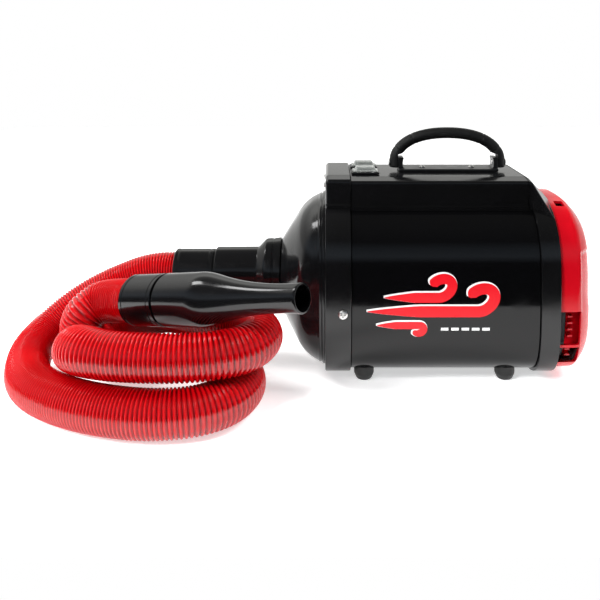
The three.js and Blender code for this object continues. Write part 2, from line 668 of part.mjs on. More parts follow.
part("motor_bulkhead", bulkhead(), MATERIALS.aluminium);
part("acoustic_liner", loft([
  section(LINER.start, LINER.outer), section(LINER.end, LINER.outer),
  section(LINER.end, LINER.inner), section(LINER.start, LINER.inner),
], true), MATERIALS.foam);
for (const side of SIDES) {
  const motor = new THREE.Group();
  motor.position.set(0, side.y * MOTOR.y, AXIS_HEIGHT);
  dryer.add(motor);
  part(`motor_gasket_${side.name}`, tube(GASKET.start, GASKET.end, GASKET.outer, GASKET.inner, ROUND_SIDES),
    MATERIALS.rubber, motor);
  part(`fan_housing_${side.name}`, fanHousing(), MATERIALS.aluminium, motor);
  part(`impeller_${side.name}`, impeller(), MATERIALS.aluminium, motor);
  part(`armature_${side.name}`, armature(), MATERIALS.steel, motor);
  part(`stator_${side.name}`, stator(), MATERIALS.copper, motor);
  part(`end_bracket_${side.name}`, endBracket(), MATERIALS.satinBlack, motor);
}

// ---------------------------------------------------------------- hose and nozzle
function outletCuff() {
  const start = SPIGOT.start - GAP;
  const end = start - CUFF.length;
  return turned([
    [end, CUFF.bore], [end, CUFF.radius], [start, CUFF.radius], [start, CUFF.insert],
    [start + CUFF.insertLength, CUFF.insert], [start + CUFF.insertLength, CUFF.bore],
  ], ROUND_SIDES, true).translate([0, 0, AXIS_HEIGHT]);
}

function nozzleCuff() {
  const { radius, bore, insert, length, insertLength } = NOZZLE_CUFF;
  return turned([
    [-length, bore], [-length, radius], [-GAP, radius], [-GAP, insert], [insertLength, insert],
    [insertLength, bore],
  ], ROUND_SIDES, true);
}

function nozzle() {
  const outer = NOZZLE_STATIONS.map(([x, radius]) => [x, radius]);
  const inner = NOZZLE_STATIONS.map(([x, radius, wall]) => [x, radius - wall]);
  return turned([...outer, ...inner.reverse()], ROUND_SIDES, true);
}

const nozzleAxis = new THREE.Vector3(...NOZZLE.direction).normalize();
const nozzleGroup = new THREE.Group();
nozzleGroup.position.set(...NOZZLE.base);
nozzleGroup.quaternion.setFromUnitVectors(new THREE.Vector3(1, 0, 0), nozzleAxis);
dryer.add(nozzleGroup);

// The hose's centre line as it lies: down from the outlet, once round on the floor, up over itself
// for a second turn, then behind both turns and back to the nozzle. Chosen by hand.
const HOSE_ROUTE = [
  [-265, 0, 99], [-276, 0, 98.4], [-293, -1, 95], [-312, -3, 88.5], [-341, -9, 76.5], [-367, -19, 62],
  [-392, -36, 42], [-402, -60, 30], [-395, -94, 23.3], [-377, -127, 23.3], [-347, -154, 23.3],
  [-296, -179, 23.3],
  [-240, -190, 23.3], [-197, -183, 23.3], [-170, -162, 23.3], [-160, -130, 23.3], [-170, -98, 23.3],
  [-193, -76, 23.3], [-228, -65, 23.3], [-262, -68, 23.5], [-291, -85, 32], [-313, -104, 45],
  [-325, -125, 58], [-324, -145, 66], [-309, -161, 70], [-280, -171, 70.5], [-240, -175, 70.2],
  [-203, -173, 70], [-172, -164, 70], [-151, -147, 70], [-143, -125, 70], [-149, -104, 70.2],
  [-166, -87, 70.4], [-195, -73, 70.5], [-228, -59, 70], [-258, -43, 66], [-285, -28, 54],
  [-306, -21, 39], [-324, -27, 28], [-336, -42, 28.5], [-344, -57, 41], [-346, -68, 58],
  [-339, -70, 74], [-325, -65, 84],
];

function hose() {
  const start = new THREE.Vector3(SPIGOT.start - CUFF.length - 2 * GAP, 0, AXIS_HEIGHT);
  const behindNozzle = (distance) => nozzleAxis.clone().multiplyScalar(-distance).add(nozzleGroup.position);
  const tail = [22, 10, 0].map((distance) => behindNozzle(NOZZLE_CUFF.length + GAP + distance));
  const points = [start, ...HOSE_ROUTE.map((place) => new THREE.Vector3(...place)), ...tail];
  const outline = new THREE.Shape();
  for (let side = 0; side < HOSE.sides; side++) {
    const angle = (2 * Math.PI * side) / HOSE.sides;
    const corner = [HOSE.radius * Math.cos(angle), HOSE.radius * Math.sin(angle)];
    if (side === 0) {
      outline.moveTo(...corner);
    } else {
      outline.lineTo(...corner);
    }
  }
  outline.closePath();
  const path = new THREE.CatmullRomCurve3(points, false, "centripetal");
  const settings = { steps: HOSE.steps, extrudePath: path, bevelEnabled: false };
  return weld(new THREE.ExtrudeGeometry(outline, settings));
}

part("outlet_cuff", outletCuff(), MATERIALS.glossBlack);
part("hose", hose(), MATERIALS.red);
part("nozzle_cuff", nozzleCuff(), MATERIALS.glossBlack, nozzleGroup);
part("nozzle", nozzle(), MATERIALS.glossBlack, nozzleGroup);

export default dryer;
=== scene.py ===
"""Looks of the twin-motor forced-air pet dryer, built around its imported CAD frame.

Shapes are written in millimetres, in the CAD frame (+X towards the intake cap, +Z up), and turned
into metres where a mesh is made. The camera and the hose come first, then the body from front to
back, then the deck with its switches and handle, then materials for the inner parts and the stage.
"""
import math

import bmesh
import bpy
import numpy as np
from mathutils import Matrix, Vector


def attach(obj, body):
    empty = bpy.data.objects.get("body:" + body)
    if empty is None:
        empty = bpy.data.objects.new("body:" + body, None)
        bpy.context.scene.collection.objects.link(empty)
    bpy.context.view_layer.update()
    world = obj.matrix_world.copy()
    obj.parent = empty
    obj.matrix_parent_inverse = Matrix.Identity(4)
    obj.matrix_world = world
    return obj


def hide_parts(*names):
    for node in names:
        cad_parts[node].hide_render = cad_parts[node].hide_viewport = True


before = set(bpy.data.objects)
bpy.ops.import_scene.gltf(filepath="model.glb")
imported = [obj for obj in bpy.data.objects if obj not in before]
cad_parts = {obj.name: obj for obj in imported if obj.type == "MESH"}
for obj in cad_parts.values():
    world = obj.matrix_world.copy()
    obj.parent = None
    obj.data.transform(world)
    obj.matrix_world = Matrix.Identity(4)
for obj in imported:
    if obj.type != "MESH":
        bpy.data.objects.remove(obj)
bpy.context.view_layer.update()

MM = 0.001
AXIS = 99  # height of the body's and the outlet's axis
SIDES = {"left": -1, "right": 1}
ENDS = {"front": -34, "rear": 122}

# ---- camera
CAMERA_PLACE = (-0.0730, -0.8311, 0.3598)
CAMERA_PITCH = 3  # degrees below the horizon


def make_camera():
    data = bpy.data.cameras.new("camera")
    data.lens = 42.3
    data.sensor_width = 36
    data.shift_x = -0.048
    data.shift_y = -0.35
    camera = bpy.data.objects.new("camera", data)
    camera.location = CAMERA_PLACE
    camera.rotation_euler = (math.radians(90 - CAMERA_PITCH), 0, 0)
    bpy.context.scene.collection.objects.link(camera)
    bpy.context.scene.camera = camera


make_camera()


# ---- materials
def color_ramp(tree, value, stops):
    """Maps a 0..1 value through (position, colour or grey) stops."""
    ramp = tree.nodes.new("ShaderNodeValToRGB")
    elements = ramp.color_ramp.elements
    while len(elements) < len(stops):
        elements.new(0.5)
    for element, (position, color) in zip(elements, stops):
        element.position = position
        element.color = (*color, 1) if isinstance(color, tuple) else (color, color, color, 1)
    tree.links.new(value, ramp.inputs["Fac"])
    return ramp.outputs["Color"]


def color_mix(tree, factor, first, second, blend_type="MIX"):
    """Mixes two colours; the factor and the second may be values."""
    mix = tree.nodes.new("ShaderNodeMix")
    mix.data_type = "RGBA"
    mix.blend_type = blend_type
    for socket, value in (("Factor", factor), ("A", first), ("B", second)):
        if isinstance(value, (float, tuple)):
            mix.inputs[socket].default_value = value
        else:
            tree.links.new(value, mix.inputs[socket])
    return mix.outputs["Result"]


class Nodes:
    """A short way to write a procedural material."""

    def __init__(self, name, color, roughness, **sockets):
        self.material = bpy.data.materials.new(name)
        self.material.use_nodes = True
        self.tree = self.material.node_tree
        self.shader = self.tree.nodes["Principled BSDF"]
        self.shader.inputs["Base Color"].default_value = (*color, 1)
        self.shader.inputs["Roughness"].default_value = roughness
        for socket, value in sockets.items():
            self.shader.inputs[socket.replace("_", " ")].default_value = value
        self.place = self.add("ShaderNodeTexCoord").outputs["Object"]
        self.normal = None

    def add(self, kind, **settings):
        node = self.tree.nodes.new(kind)
        for key, value in settings.items():
            setattr(node, key, value)
        return node

    def link(self, start, end):
        self.tree.links.new(start, end)

    def noise(self, scale, detail=4.0, stretch=(1, 1, 1)):
        mapping = self.add("ShaderNodeMapping")
        mapping.inputs["Scale"].default_value = stretch
        noise = self.add("ShaderNodeTexNoise")
        noise.inputs["Scale"].default_value = scale
        noise.inputs["Detail"].default_value = detail
        self.link(self.place, mapping.inputs["Vector"])
        self.link(mapping.outputs["Vector"], noise.inputs["Vector"])
        return noise.outputs["Fac"]

    def cells(self, scale, feature="F1"):
        voronoi = self.add("ShaderNodeTexVoronoi", feature=feature)
        voronoi.inputs["Scale"].default_value = scale
        self.link(self.place, voronoi.inputs["Vector"])
        return voronoi.outputs["Distance"]

    def ramp(self, value, *stops):
        return color_ramp(self.tree, value, stops)

    def tone(self, scale, detail, *stops):
        """Varies the base colour between stops by a noise."""
        self.color(self.ramp(self.noise(scale, detail), *stops))

    def gloss(self, scale, detail, *stops):
        """Varies the roughness between stops by a noise."""
        self.link(self.ramp(self.noise(scale, detail), *stops), self.shader.inputs["Roughness"])

    def color(self, value):
        self.link(value, self.shader.inputs["Base Color"])

    def bump(self, height, distance, strength=1.0):
        bump = self.add("ShaderNodeBump")
        bump.inputs["Distance"].default_value = distance * MM
        bump.inputs["Strength"].default_value = strength
        self.link(height, bump.inputs["Height"])
        if self.normal is not None:
            self.link(self.normal, bump.inputs["Normal"])
        self.normal = bump.outputs["Normal"]
        self.link(self.normal, self.shader.inputs["Normal"])


def enamel_black():
    made = Nodes("enamel_black", (0.0015, 0.0015, 0.0018), 0.06, Specular_IOR_Level=0.28)
    made.gloss(55, 6, (0.35, 0.045), (0.8, 0.11))
    made.bump(made.noise(420, 2), 0.004, 0.4)
    made.bump(made.noise(22, 1), 0.03, 0.2)
    return made.material


def plastic_black():
    made = Nodes("plastic_black", (0.003, 0.003, 0.0035), 0.13, Specular_IOR_Level=0.4)
    made.tone(9, 5, (0.3, (0.002, 0.002, 0.0022)), (0.75, (0.0045, 0.0045, 0.005)))
    made.gloss(70, 6, (0.3, 0.1), (0.75, 0.17))
    made.bump(made.noise(900, 3), 0.01, 0.35)
    made.bump(made.noise(14, 2), 0.03, 0.2)
    return made.material


def plastic_red():
    made = Nodes("plastic_red", (0.5, 0.001, 0.007), 0.18, Specular_IOR_Level=0.3)
    made.tone(8, 4, (0.25, (0.46, 0.001, 0.007)), (0.8, (0.54, 0.003, 0.010)))
    made.gloss(60, 6, (0.3, 0.12), (0.8, 0.24))
    made.bump(made.noise(16, 2), 0.03, 0.2)
    made.bump(made.noise(800, 2), 0.008, 0.3)
    return made.material


def hose_red():
    made = Nodes("hose_red", (0.48, 0.001, 0.004), 0.2, Specular_IOR_Level=0.5)
    rise = made.add("ShaderNodeAttribute", attribute_name="rib").outputs["Fac"]
    # the base colour runs from the hose's own red on the rib crests to near black in the grooves: painted
    # shade in the grooves between the ribs
    crest_red_groove_shade = made.ramp(
        rise, (0.0, (0.05, 0.0, 0.001)), (0.5, (0.3, 0.0, 0.002)), (1.0, (0.5, 0.001, 0.003)))
    dust = made.ramp(made.noise(12, 3), (0.3, 0.94), (0.75, 1.0))
    made.color(color_mix(made.tree, 1.0, crest_red_groove_shade, dust, "MULTIPLY"))
    made.gloss(120, 5, (0.3, 0.13), (0.8, 0.22))
    made.bump(made.noise(700, 3), 0.02, 0.4)
    return made.material


def rubber_black():
    made = Nodes("rubber_black", (0.006, 0.006, 0.006), 0.5)
    made.tone(40, 6, (0.3, 0.004), (0.8, (0.010, 0.010, 0.0095)))
    made.gloss(90, 5, (0.3, 0.42), (0.8, 0.62))
    made.bump(made.cells(900), 0.05, 0.7)
    return made.material


def grip_black():
    made = Nodes("grip_black", (0.006, 0.006, 0.006), 0.5, Specular_IOR_Level=0.35)
    made.tone(60, 6, (0.3, 0.004), (0.8, (0.009, 0.009, 0.0085)))
    made.gloss(150, 5, (0.3, 0.46), (0.8, 0.6))
    made.bump(made.cells(620, "SMOOTH_F1"), 0.14, 0.8)
    made.bump(made.noise(1500, 2), 0.03, 0.5)
    return made.material


def satin_black():
    made = Nodes("satin_black", (0.006, 0.006, 0.006), 0.3)
    made.tone(30, 5, (0.3, (0.004, 0.004, 0.0045)), (0.8, 0.009))
    made.gloss(80, 5, (0.3, 0.27), (0.8, 0.42))
    made.bump(made.noise(1400, 3), 0.04, 0.6)
    return made.material


def clear_cover():
    made = Nodes(
        "clear_cover", (0.5, 0.52, 0.5), 0.16, Transmission_Weight=0.75, IOR=1.4, Specular_IOR_Level=0.4,
    )
    made.tone(60, 4, (0.3, (0.42, 0.44, 0.42)), (0.8, (0.58, 0.6, 0.58)))
    made.gloss(50, 4, (0.3, 0.1), (0.8, 0.2))
    made.bump(made.noise(90, 2), 0.02, 0.3)
    return made.material


def plated_steel():
    made = Nodes("plated_steel", (0.72, 0.71, 0.69), 0.38, Metallic=1.0)
    made.tone(300, 4, (0.3, (0.62, 0.61, 0.59)), (0.8, (0.82, 0.81, 0.79)))
    made.gloss(500, 4, (0.3, 0.3), (0.8, 0.46))
    made.bump(made.noise(1600, 2), 0.01, 0.4)
    return made.material


def cast_aluminium():
    made = Nodes("cast_aluminium", (0.56, 0.57, 0.58), 0.4, Metallic=1.0)
    made.tone(60, 6, (0.3, (0.46, 0.47, 0.48)), (0.8, (0.66, 0.67, 0.68)))
    made.gloss(120, 5, (0.3, 0.32), (0.8, 0.52))
    made.bump(made.noise(900, 4), 0.05, 0.6)
    return made.material


def copper_winding():
    made = Nodes("copper_winding", (0.55, 0.22, 0.09), 0.35, Metallic=1.0)
    strands = made.noise(240, 3, (0.1, 1, 1))
    made.color(made.ramp(strands, (0.3, (0.34, 0.12, 0.05)), (0.75, (0.66, 0.29, 0.12))))
    made.bump(made.noise(500, 2, (0.05, 1, 1)), 0.25, 0.9)
    return made.material


def open_foam():
    made = Nodes("open_foam", (0.02, 0.02, 0.022), 0.95)
    pores = made.cells(520, "DISTANCE_TO_EDGE")
    # the cell walls are painted lighter and the pores near black: painted shade in the pores
    made.color(made.ramp(pores, (0.0, (0.055, 0.055, 0.058)), (0.3, 0.006)))
    made.bump(made.ramp(pores, (0.0, 1.0), (0.35, 0.0)), 0.9, 1.0)
    return made.material


def printed(name, color):
    made = Nodes(name, color, 0.3, Specular_IOR_Level=0.3)
    darker = tuple(channel * 0.96 for channel in color)
    made.tone(45, 4, (0.3, darker), (0.7, color))
    made.gloss(150, 4, (0.3, 0.28), (0.8, 0.32))
    made.bump(made.noise(900, 2), 0.006, 0.4)
    return made.material


def floor_paint():
    made = Nodes(
        "floor_paint", (0.9, 0.9, 0.9), 0.7, Specular_IOR_Level=0.1,
        Emission_Color=(1, 1, 1, 1), Emission_Strength=0.55,
    )
    made.tone(3, 4, (0.3, 0.89), (0.7, 0.91))
    return made.material


ENAMEL = enamel_black()
BLACK = plastic_black()
RED = plastic_red()
HOSE_RED = hose_red()
RUBBER = rubber_black()
GRIP = grip_black()
SATIN = satin_black()
CLEAR = clear_cover()
STEEL = plated_steel()
ALUMINIUM = cast_aluminium()
COPPER = copper_winding()
FOAM = open_foam()
PRINT_WHITE = printed("print_white", (0.86, 0.86, 0.85))
PRINT_RED = printed("print_red", (0.72, 0.006, 0.014))


# ---- mesh helpers
def build(name, points, faces, material, crease=32):
    """A mesh object from millimetre points, smooth except across edges sharper than crease degrees."""
    mesh = bpy.data.meshes.new(name)
    places = (np.asarray(points, float) * MM).tolist()
    mesh.from_pydata(places, [], [list(map(int, face)) for face in faces])
    made = bpy.data.objects.new(name, mesh)
    bpy.context.scene.collection.objects.link(made)
    mesh.materials.append(material)
    tidy(made, crease)
    return made


def tidy(made, crease=32):
    """Turns every face outwards and sets the smooth and sharp edges."""
    mesh = made.data
    work = bmesh.new()
    work.from_mesh(mesh)
    bmesh.ops.remove_doubles(work, verts=work.verts, dist=0.002 * MM)
    bmesh.ops.recalc_face_normals(work, faces=work.faces)
    work.to_mesh(mesh)
    work.free()
    mesh.shade_smooth()
    mesh.set_sharp_from_angle(angle=math.radians(crease))


def loft(rings, closed=False):
    """Points and faces that join rings of equal length. Open lofts get flat end faces."""
    rings = [np.asarray(ring, float) for ring in rings]
    count = len(rings[0])
    bands = len(rings) if closed else len(rings) - 1
    faces = []
    for band in range(bands):
        start, end = band * count, ((band + 1) % len(rings)) * count
        for side in range(count):
            after = (side + 1) % count
            faces.append((start + side, start + after, end + after, end + side))
    if not closed:
        faces.append(tuple(range(count)))
        faces.append(tuple(range((len(rings) - 1) * count, len(rings) * count)))
    return np.concatenate(rings), faces


def section(x, size, roundness=0.0, sides=176):
    """A section of the body at x with the given half width. roundness 1 makes it a circle."""
    angle = np.arange(sides) * 2 * math.pi / sides
    across, upward = np.cos(angle), np.sin(angle)
    top = upward >= 0
    power = np.where(top, 2.8, 3.8) * (1 - roundness) + 2 * roundness
    height = size * (np.where(top, 1.0, 0.97) * (1 - roundness) + roundness)
    y = size * np.sign(across) * np.abs(across) ** (2 / power)
    z = height * np.sign(upward) * np.abs(upward) ** (2 / power)
    return np.stack([np.full(sides, float(x)), y, AXIS + z], 1)


def shell(stations, wall_stations, sides=176):
    """A closed wall between outer and inner stations, (x, size) or (x, size, roundness), front to back."""
    rings = [section(*station, sides=sides) for station in stations]
    rings += [section(*station, sides=sides) for station in reversed(wall_stations)]
    return loft(rings, closed=True)


def softened(points, radius, steps=3, closed=True):
    """Rounds the corners of an outline. radius is one number, or one for each corner."""
    points = [np.asarray(point, float) for point in points]
    radii = [radius] * len(points) if np.isscalar(radius) else radius
    soft = []
    for i, corner in enumerate(points):
        ends = not closed and i in (0, len(points) - 1)
        if radii[i] == 0 or ends:
            soft.append(corner)
            continue
        before, after = points[i - 1] - corner, points[(i + 1) % len(points)] - corner
        reach = min(radii[i], 0.48 * np.linalg.norm(before), 0.48 * np.linalg.norm(after))
        start = corner + before / np.linalg.norm(before) * reach
        end = corner + after / np.linalg.norm(after) * reach
        for t in np.linspace(0, 1, steps + 1):
            soft.append((1 - t) ** 2 * start + 2 * t * (1 - t) * corner + t ** 2 * end)
    return np.array(soft)


def turned(profile, sides=72, closed=True, ripple=None):
    """A body of revolution about X from (x, radius) points. ripple(x, angles) adds to the radius."""
    angle = np.arange(sides) * 2 * math.pi / sides
    rings = []
    for x, radius in profile:
        wide = np.full(sides, float(radius))
        if ripple is not None:
            wide = wide + ripple(x, radius, angle)
        rings.append(np.stack([np.full(sides, float(x)), wide * np.cos(angle), wide * np.sin(angle)], 1))
    return loft(rings, closed=closed)


def rod(start, end, radius, sides=24):
    """A plain round solid about X, mostly to cut holes with."""
    return turned([(start, 0.01), (start, radius), (end, radius), (end, 0.01)], sides, closed=False)


def prism(outline, low, high, axis, edge=0.0):
    """Pushes a 2-D outline along X, Y or Z, with its two end edges rounded by edge."""
    outline = np.asarray(outline, float)
    middle = outline.mean(0)
    reach = np.abs(outline - middle).max(0)
    rings = []
    levels = [(low, edge), (low + edge * 0.3, edge * 0.3), (low + edge, 0)] if edge else [(low, 0)]
    levels += [(low + high - level, inset) for level, inset in reversed(levels)]
    for level, inset in levels:
        flat = middle + (outline - middle) * (1 - inset / reach)
        rings.append(np.insert(flat, "XYZ".index(axis), level, axis=1))
    return loft(rings)


def rectangle(x, y):
    """The corners of a rectangle from (low, high) pairs."""
    return [(x[0], y[0]), (x[1], y[0]), (x[1], y[1]), (x[0], y[1])]


def block(x, y, z, edge=0.0, corner=0.6):
    """A box from (low, high) pairs, its upright corners and its top and bottom edges rounded."""
    return prism(softened(rectangle(x, y), corner), z[0], z[1], "Z", edge)


def moved(shape, offset=(0, 0, 0), turn=None):
    points, faces = shape
    if turn is not None:
        points = points @ np.array(turn.to_3x3()).T
    return points + np.asarray(offset, float), faces


def together(*shapes):
    points, faces, start = [], [], 0
    for some_points, some_faces in shapes:
        points.append(some_points)
        faces += [tuple(corner + start for corner in face) for face in some_faces]
        start += len(some_points)
    return np.concatenate(points), faces


def apply_modifiers(made):
    bpy.context.view_layer.update()
    evaluated = made.evaluated_get(bpy.context.evaluated_depsgraph_get())
    result = bpy.data.meshes.new_from_object(evaluated)
    made.modifiers.clear()
    old = made.data
    made.data = result
    bpy.data.meshes.remove(old)


def shape_of(made):
    """The object's points, in millimetres, and its faces. The object is removed."""
    points = np.array([vertex.co for vertex in made.data.vertices]) / MM
    faces = [tuple(face.vertices) for face in made.data.polygons]
    bpy.data.objects.remove(made)
    return points, faces


def carve(made, shapes, operation="DIFFERENCE", crease=32):
    """Cuts the shapes out of the object, or joins them to it with operation UNION."""
    for shape in shapes:
        cutter = build("cutter", *shape, made.data.materials[0])
        modifier = made.modifiers.new("carve", "BOOLEAN")
        modifier.operation = operation
        modifier.solver = "EXACT"
        modifier.object = cutter
        apply_modifiers(made)
        bpy.data.objects.remove(cutter)
    tidy(made, crease)
    return made


def keep_flats_flat(made):
    """Weights the shading by face size, so that a flat face with rounded edges still shades flat."""
    modifier = made.modifiers.new("flats", "WEIGHTED_NORMAL")
    modifier.keep_sharp = True
    apply_modifiers(made)


def finish_piece(made, body, slot, *nodes):
    """Rides on the body and stands for the CAD nodes, which it hides; slot is not used."""
    if made is not hose_piece:
        keep_flats_flat(made)
    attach(made, body)
    if nodes:
        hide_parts(*nodes)
    return made


TURN_UP = Matrix.Rotation(math.radians(-90), 4, "Y")  # +X becomes +Z
TURN_DOWN = Matrix.Rotation(math.radians(90), 4, "Y")  # +X becomes -Z


def turn_side(side):
    """+X becomes +Y for side 1 and -Y for side -1."""
    return Matrix.Rotation(math.radians(90 * side), 4, "Z")


# ---- hose
NOZZLE_BASE = np.array([-237.8, -112.7, 104.6])
NOZZLE_AXIS = np.array([0.827, -0.528, 0.195]) / np.linalg.norm([0.827, -0.528, 0.195])
CUFF_END = -255.6
HOSE_ROUTE = [  # metres
    (-0.265, 0, 0.099), (-0.276, 0, 0.0984), (-0.293, -0.001, 0.095), (-0.312, -0.003, 0.0885),
    (-0.341, -0.009, 0.0765), (-0.367, -0.019, 0.062), (-0.392, -0.036, 0.042), (-0.402, -0.060, 0.030),
    (-0.395, -0.094, 0.0233), (-0.377, -0.127, 0.0233), (-0.347, -0.154, 0.0233), (-0.296, -0.179, 0.0233),
    (-0.240, -0.190, 0.0233), (-0.197, -0.183, 0.0233), (-0.170, -0.162, 0.0233), (-0.160, -0.130, 0.0233),
    (-0.170, -0.098, 0.0233), (-0.193, -0.076, 0.0233), (-0.228, -0.065, 0.0233), (-0.262, -0.068, 0.0235),
    (-0.291, -0.085, 0.032), (-0.313, -0.104, 0.045), (-0.325, -0.125, 0.058), (-0.324, -0.145, 0.066),
    (-0.309, -0.161, 0.070), (-0.280, -0.171, 0.0705), (-0.240, -0.175, 0.0702), (-0.203, -0.173, 0.070),
    (-0.172, -0.164, 0.070), (-0.151, -0.147, 0.070), (-0.143, -0.125, 0.070), (-0.149, -0.104, 0.0702),
    (-0.166, -0.087, 0.0704), (-0.195, -0.073, 0.0705), (-0.228, -0.059, 0.070), (-0.258, -0.043, 0.066),
    (-0.285, -0.028, 0.054), (-0.306, -0.021, 0.039), (-0.324, -0.027, 0.028), (-0.336, -0.042, 0.0285),
    (-0.344, -0.057, 0.041), (-0.346, -0.068, 0.058), (-0.339, -0.070, 0.074), (-0.325, -0.065, 0.084),
]
HOSE = {"radius": 23, "groove": 20.2, "sides": 40, "rings_per_rib": 6, "inside_cuff": 9}
# how the ribs are stretched: share of the length, rib pitch
RIB_PITCH = [
    (0, 3.0), (0.22, 2.9), (0.34, 4.2), (0.5, 4.6), (0.56, 3.6), (0.66, 4.5), (0.78, 4.4), (0.86, 3.2),
    (1, 3.0),
]


def smooth_route(points, samples=40):
    """A centripetal Catmull-Rom curve through the points."""
    points = [2 * points[0] - points[1], *points, 2 * points[-1] - points[-2]]
    curve = []
    for a, b, c, d in zip(points, points[1:], points[2:], points[3:]):
        gaps = [max(np.linalg.norm(q - p), 1e-6) ** 0.5 for p, q in ((a, b), (b, c), (c, d))]
        leave = ((b - a) / gaps[0] - (c - a) / (gaps[0] + gaps[1]) + (c - b) / gaps[1]) * gaps[1]
        enter = ((c - b) / gaps[1] - (d - b) / (gaps[1] + gaps[2]) + (d - c) / gaps[2]) * gaps[1]
        for t in np.arange(samples) / samples:
            curve.append(
                (2 * t**3 - 3 * t**2 + 1) * b + (t**3 - 2 * t**2 + t) * leave
                + (3 * t**2 - 2 * t**3) * c + (t**3 - t**2) * enter
            )
    curve.append(points[-2])
    return np.array(curve)


def arc_length(curve):
    return np.concatenate([[0], np.cumsum(np.linalg.norm(np.diff(curve, axis=0), axis=1))])


def along(curve, lengths):
    """Points of the curve at the given lengths from its start."""
    distance = arc_length(curve)
    return np.stack([np.interp(lengths, distance, curve[:, i]) for i in range(3)], 1)


def hose_curve():
    start = np.array([CUFF_END, 0, AXIS])
    tail = [NOZZLE_BASE - NOZZLE_AXIS * distance for distance in (72.3, 60.3, 50.3)]
    points = [start, *(np.array(place) / MM for place in HOSE_ROUTE), *tail]
    curve = smooth_route(points)
    inside = HOSE["inside_cuff"]
    return np.concatenate([[start + (inside, 0, 0)], curve, [tail[-1] + NOZZLE_AXIS * inside]])


def travelling_frame(path):
    """Two directions across the path at each point, carried along it without twist."""
    tangent = np.gradient(path, axis=0)
    tangent /= np.linalg.norm(tangent, axis=1)[:, None]
    side = np.cross(tangent[0], (0, 0, 1))
    sides = []
    for direction in tangent:
        side = side - direction * (side @ direction)
        side /= np.linalg.norm(side)
        sides.append(side)
    sides = np.array(sides)
    return sides, np.cross(tangent, sides)


def make_hose():
    curve = hose_curve()
    total = arc_length(curve)[-1]
    fine = np.linspace(0, total, 6000)
    shares, pitches = zip(*RIB_PITCH)
    ribs = np.concatenate([[0], np.cumsum(np.diff(fine) / np.interp(fine[1:] / total, shares, pitches))])
    count = int(ribs[-1]) * HOSE["rings_per_rib"]
    phase = np.linspace(0, int(ribs[-1]), count + 1)
    lengths = np.interp(phase, ribs, fine)
    path = along(curve, lengths)
    across, upward = travelling_frame(path)
    angle = np.arange(HOSE["sides"]) * 2 * math.pi / HOSE["sides"]
    turn = np.modf(phase[:, None] + 1 - angle[None, :] / (2 * math.pi))[0]
    rise = np.sin(math.pi * turn) ** 0.65
    plain = np.clip(np.minimum(lengths, total - lengths) / 6, 0, 1)[:, None]
    rise = rise * plain
    wide = HOSE["groove"] + (HOSE["radius"] - HOSE["groove"]) * rise
    points = (
        path[:, None, :]
        + across[:, None, :] * (wide * np.cos(angle))[:, :, None]
        + upward[:, None, :] * (wide * np.sin(angle))[:, :, None]
    )
    shape = loft(list(points))
    hose = build("hose_corrugated", *shape, HOSE_RED, crease=180)
    # the rib height is kept on each point; hose_red paints shade into the grooves from it
    rib = hose.data.attributes.new("rib", "FLOAT", "POINT")
    rib.data.foreach_set("value", rise.astype(np.float32).ravel())
    return hose, path, total - 2 * HOSE["inside_cuff"]


hose_piece, hose_path, hose_length = make_hose()


# ---- outlet, cuffs and nozzle
FLUTES = 22
HOSE_SOCKET = 23.6  # inner radius of a cuff where the hose enters it


def fluted(first, last, depth, top):
    """Shallow lengthwise grooves between two X positions, on the outer wall only."""
    def ripple(x, radius, angle):
        if radius < top - 1.5 or not first <= x <= last:
            return np.zeros_like(angle)
        return -depth * np.clip(np.cos(angle * FLUTES), 0, 1) ** 4
    return ripple


def cuff_profile(start, end, radius, bore, neck, neck_end):
    """Outer wall from start to end with flutes between two lips, and a neck that runs on to neck_end."""
    outer = [
        (start, radius - 1.3), (start + 1.5, radius), (start + 5, radius), (start + 5.6, radius - 0.5),
        (start + 6.4, radius - 0.5), (start + 7, radius - 0.1), (end - 7, radius - 0.1),
        (end - 6.4, radius - 0.5), (end - 5.6, radius - 0.5), (end - 5, radius), (end - 1.6, radius),
        (end - 1, radius - 0.6), (end - 0.9, neck + 0.6), (end, neck + 0.5),
    ]
    inner = [(end, neck), (neck_end, neck), (neck_end, bore), (start + 12, bore)]
    inner += [(start + 10, HOSE_SOCKET), (start, HOSE_SOCKET)]
    return outer + inner


def make_outlet_cuff():
    end = -207.6
    profile = cuff_profile(CUFF_END + 0.3, end, 26.9, 20.6, 25.8, end + 24)
    shape = turned(profile, 132, ripple=fluted(CUFF_END + 7.5, end - 7.5, 0.8, 26.9))
    made = build("outlet_cuff_moulded", *moved(shape, (0, 0, AXIS)), BLACK)
    return finish_piece(made, "housing", "gloss_black", "outlet_cuff")


def nozzle_place(shape):
    turn = Vector((1, 0, 0)).rotation_difference(Vector(NOZZLE_AXIS)).to_matrix().to_4x4()
    return moved(shape, NOZZLE_BASE, turn)


def make_nozzle_cuff():
    profile = cuff_profile(-49.9, -0.8, 26.9, 20.6, 23.9, 21)
    shape = turned(profile, 132, ripple=fluted(-42.5, -8, 0.9, 26.9))
    made = build("nozzle_cuff_moulded", *nozzle_place(shape), BLACK)
    return finish_piece(made, "housing", "gloss_black", "nozzle_cuff")


# nozzle outline as distance from its base and radius; its wall thins from 2.1 to 1.6 mm
NOZZLE_LENGTH = 171
NOZZLE_OUTLINE = [
    (0, 25.3), (0.7, 25.4), (0.9, 26.4), (1.6, 26.9), (46, 26.95), (50, 26.85), (53.5, 26.6), (57, 26.1),
    (61, 25.4), (65, 24.5), (69.5, 23.4), (74, 22.3), (79, 21.1), (84, 20), (90, 18.8), (96, 17.7),
    (105, 16.4), (114, 15.3), (124, 14.45), (134, 13.8), (145, 13.45), (155, 13.4),
    (163, 13.6), (168, 13.85), (170, 13.9), (170.7, 13.6), (171, 13.1),
]


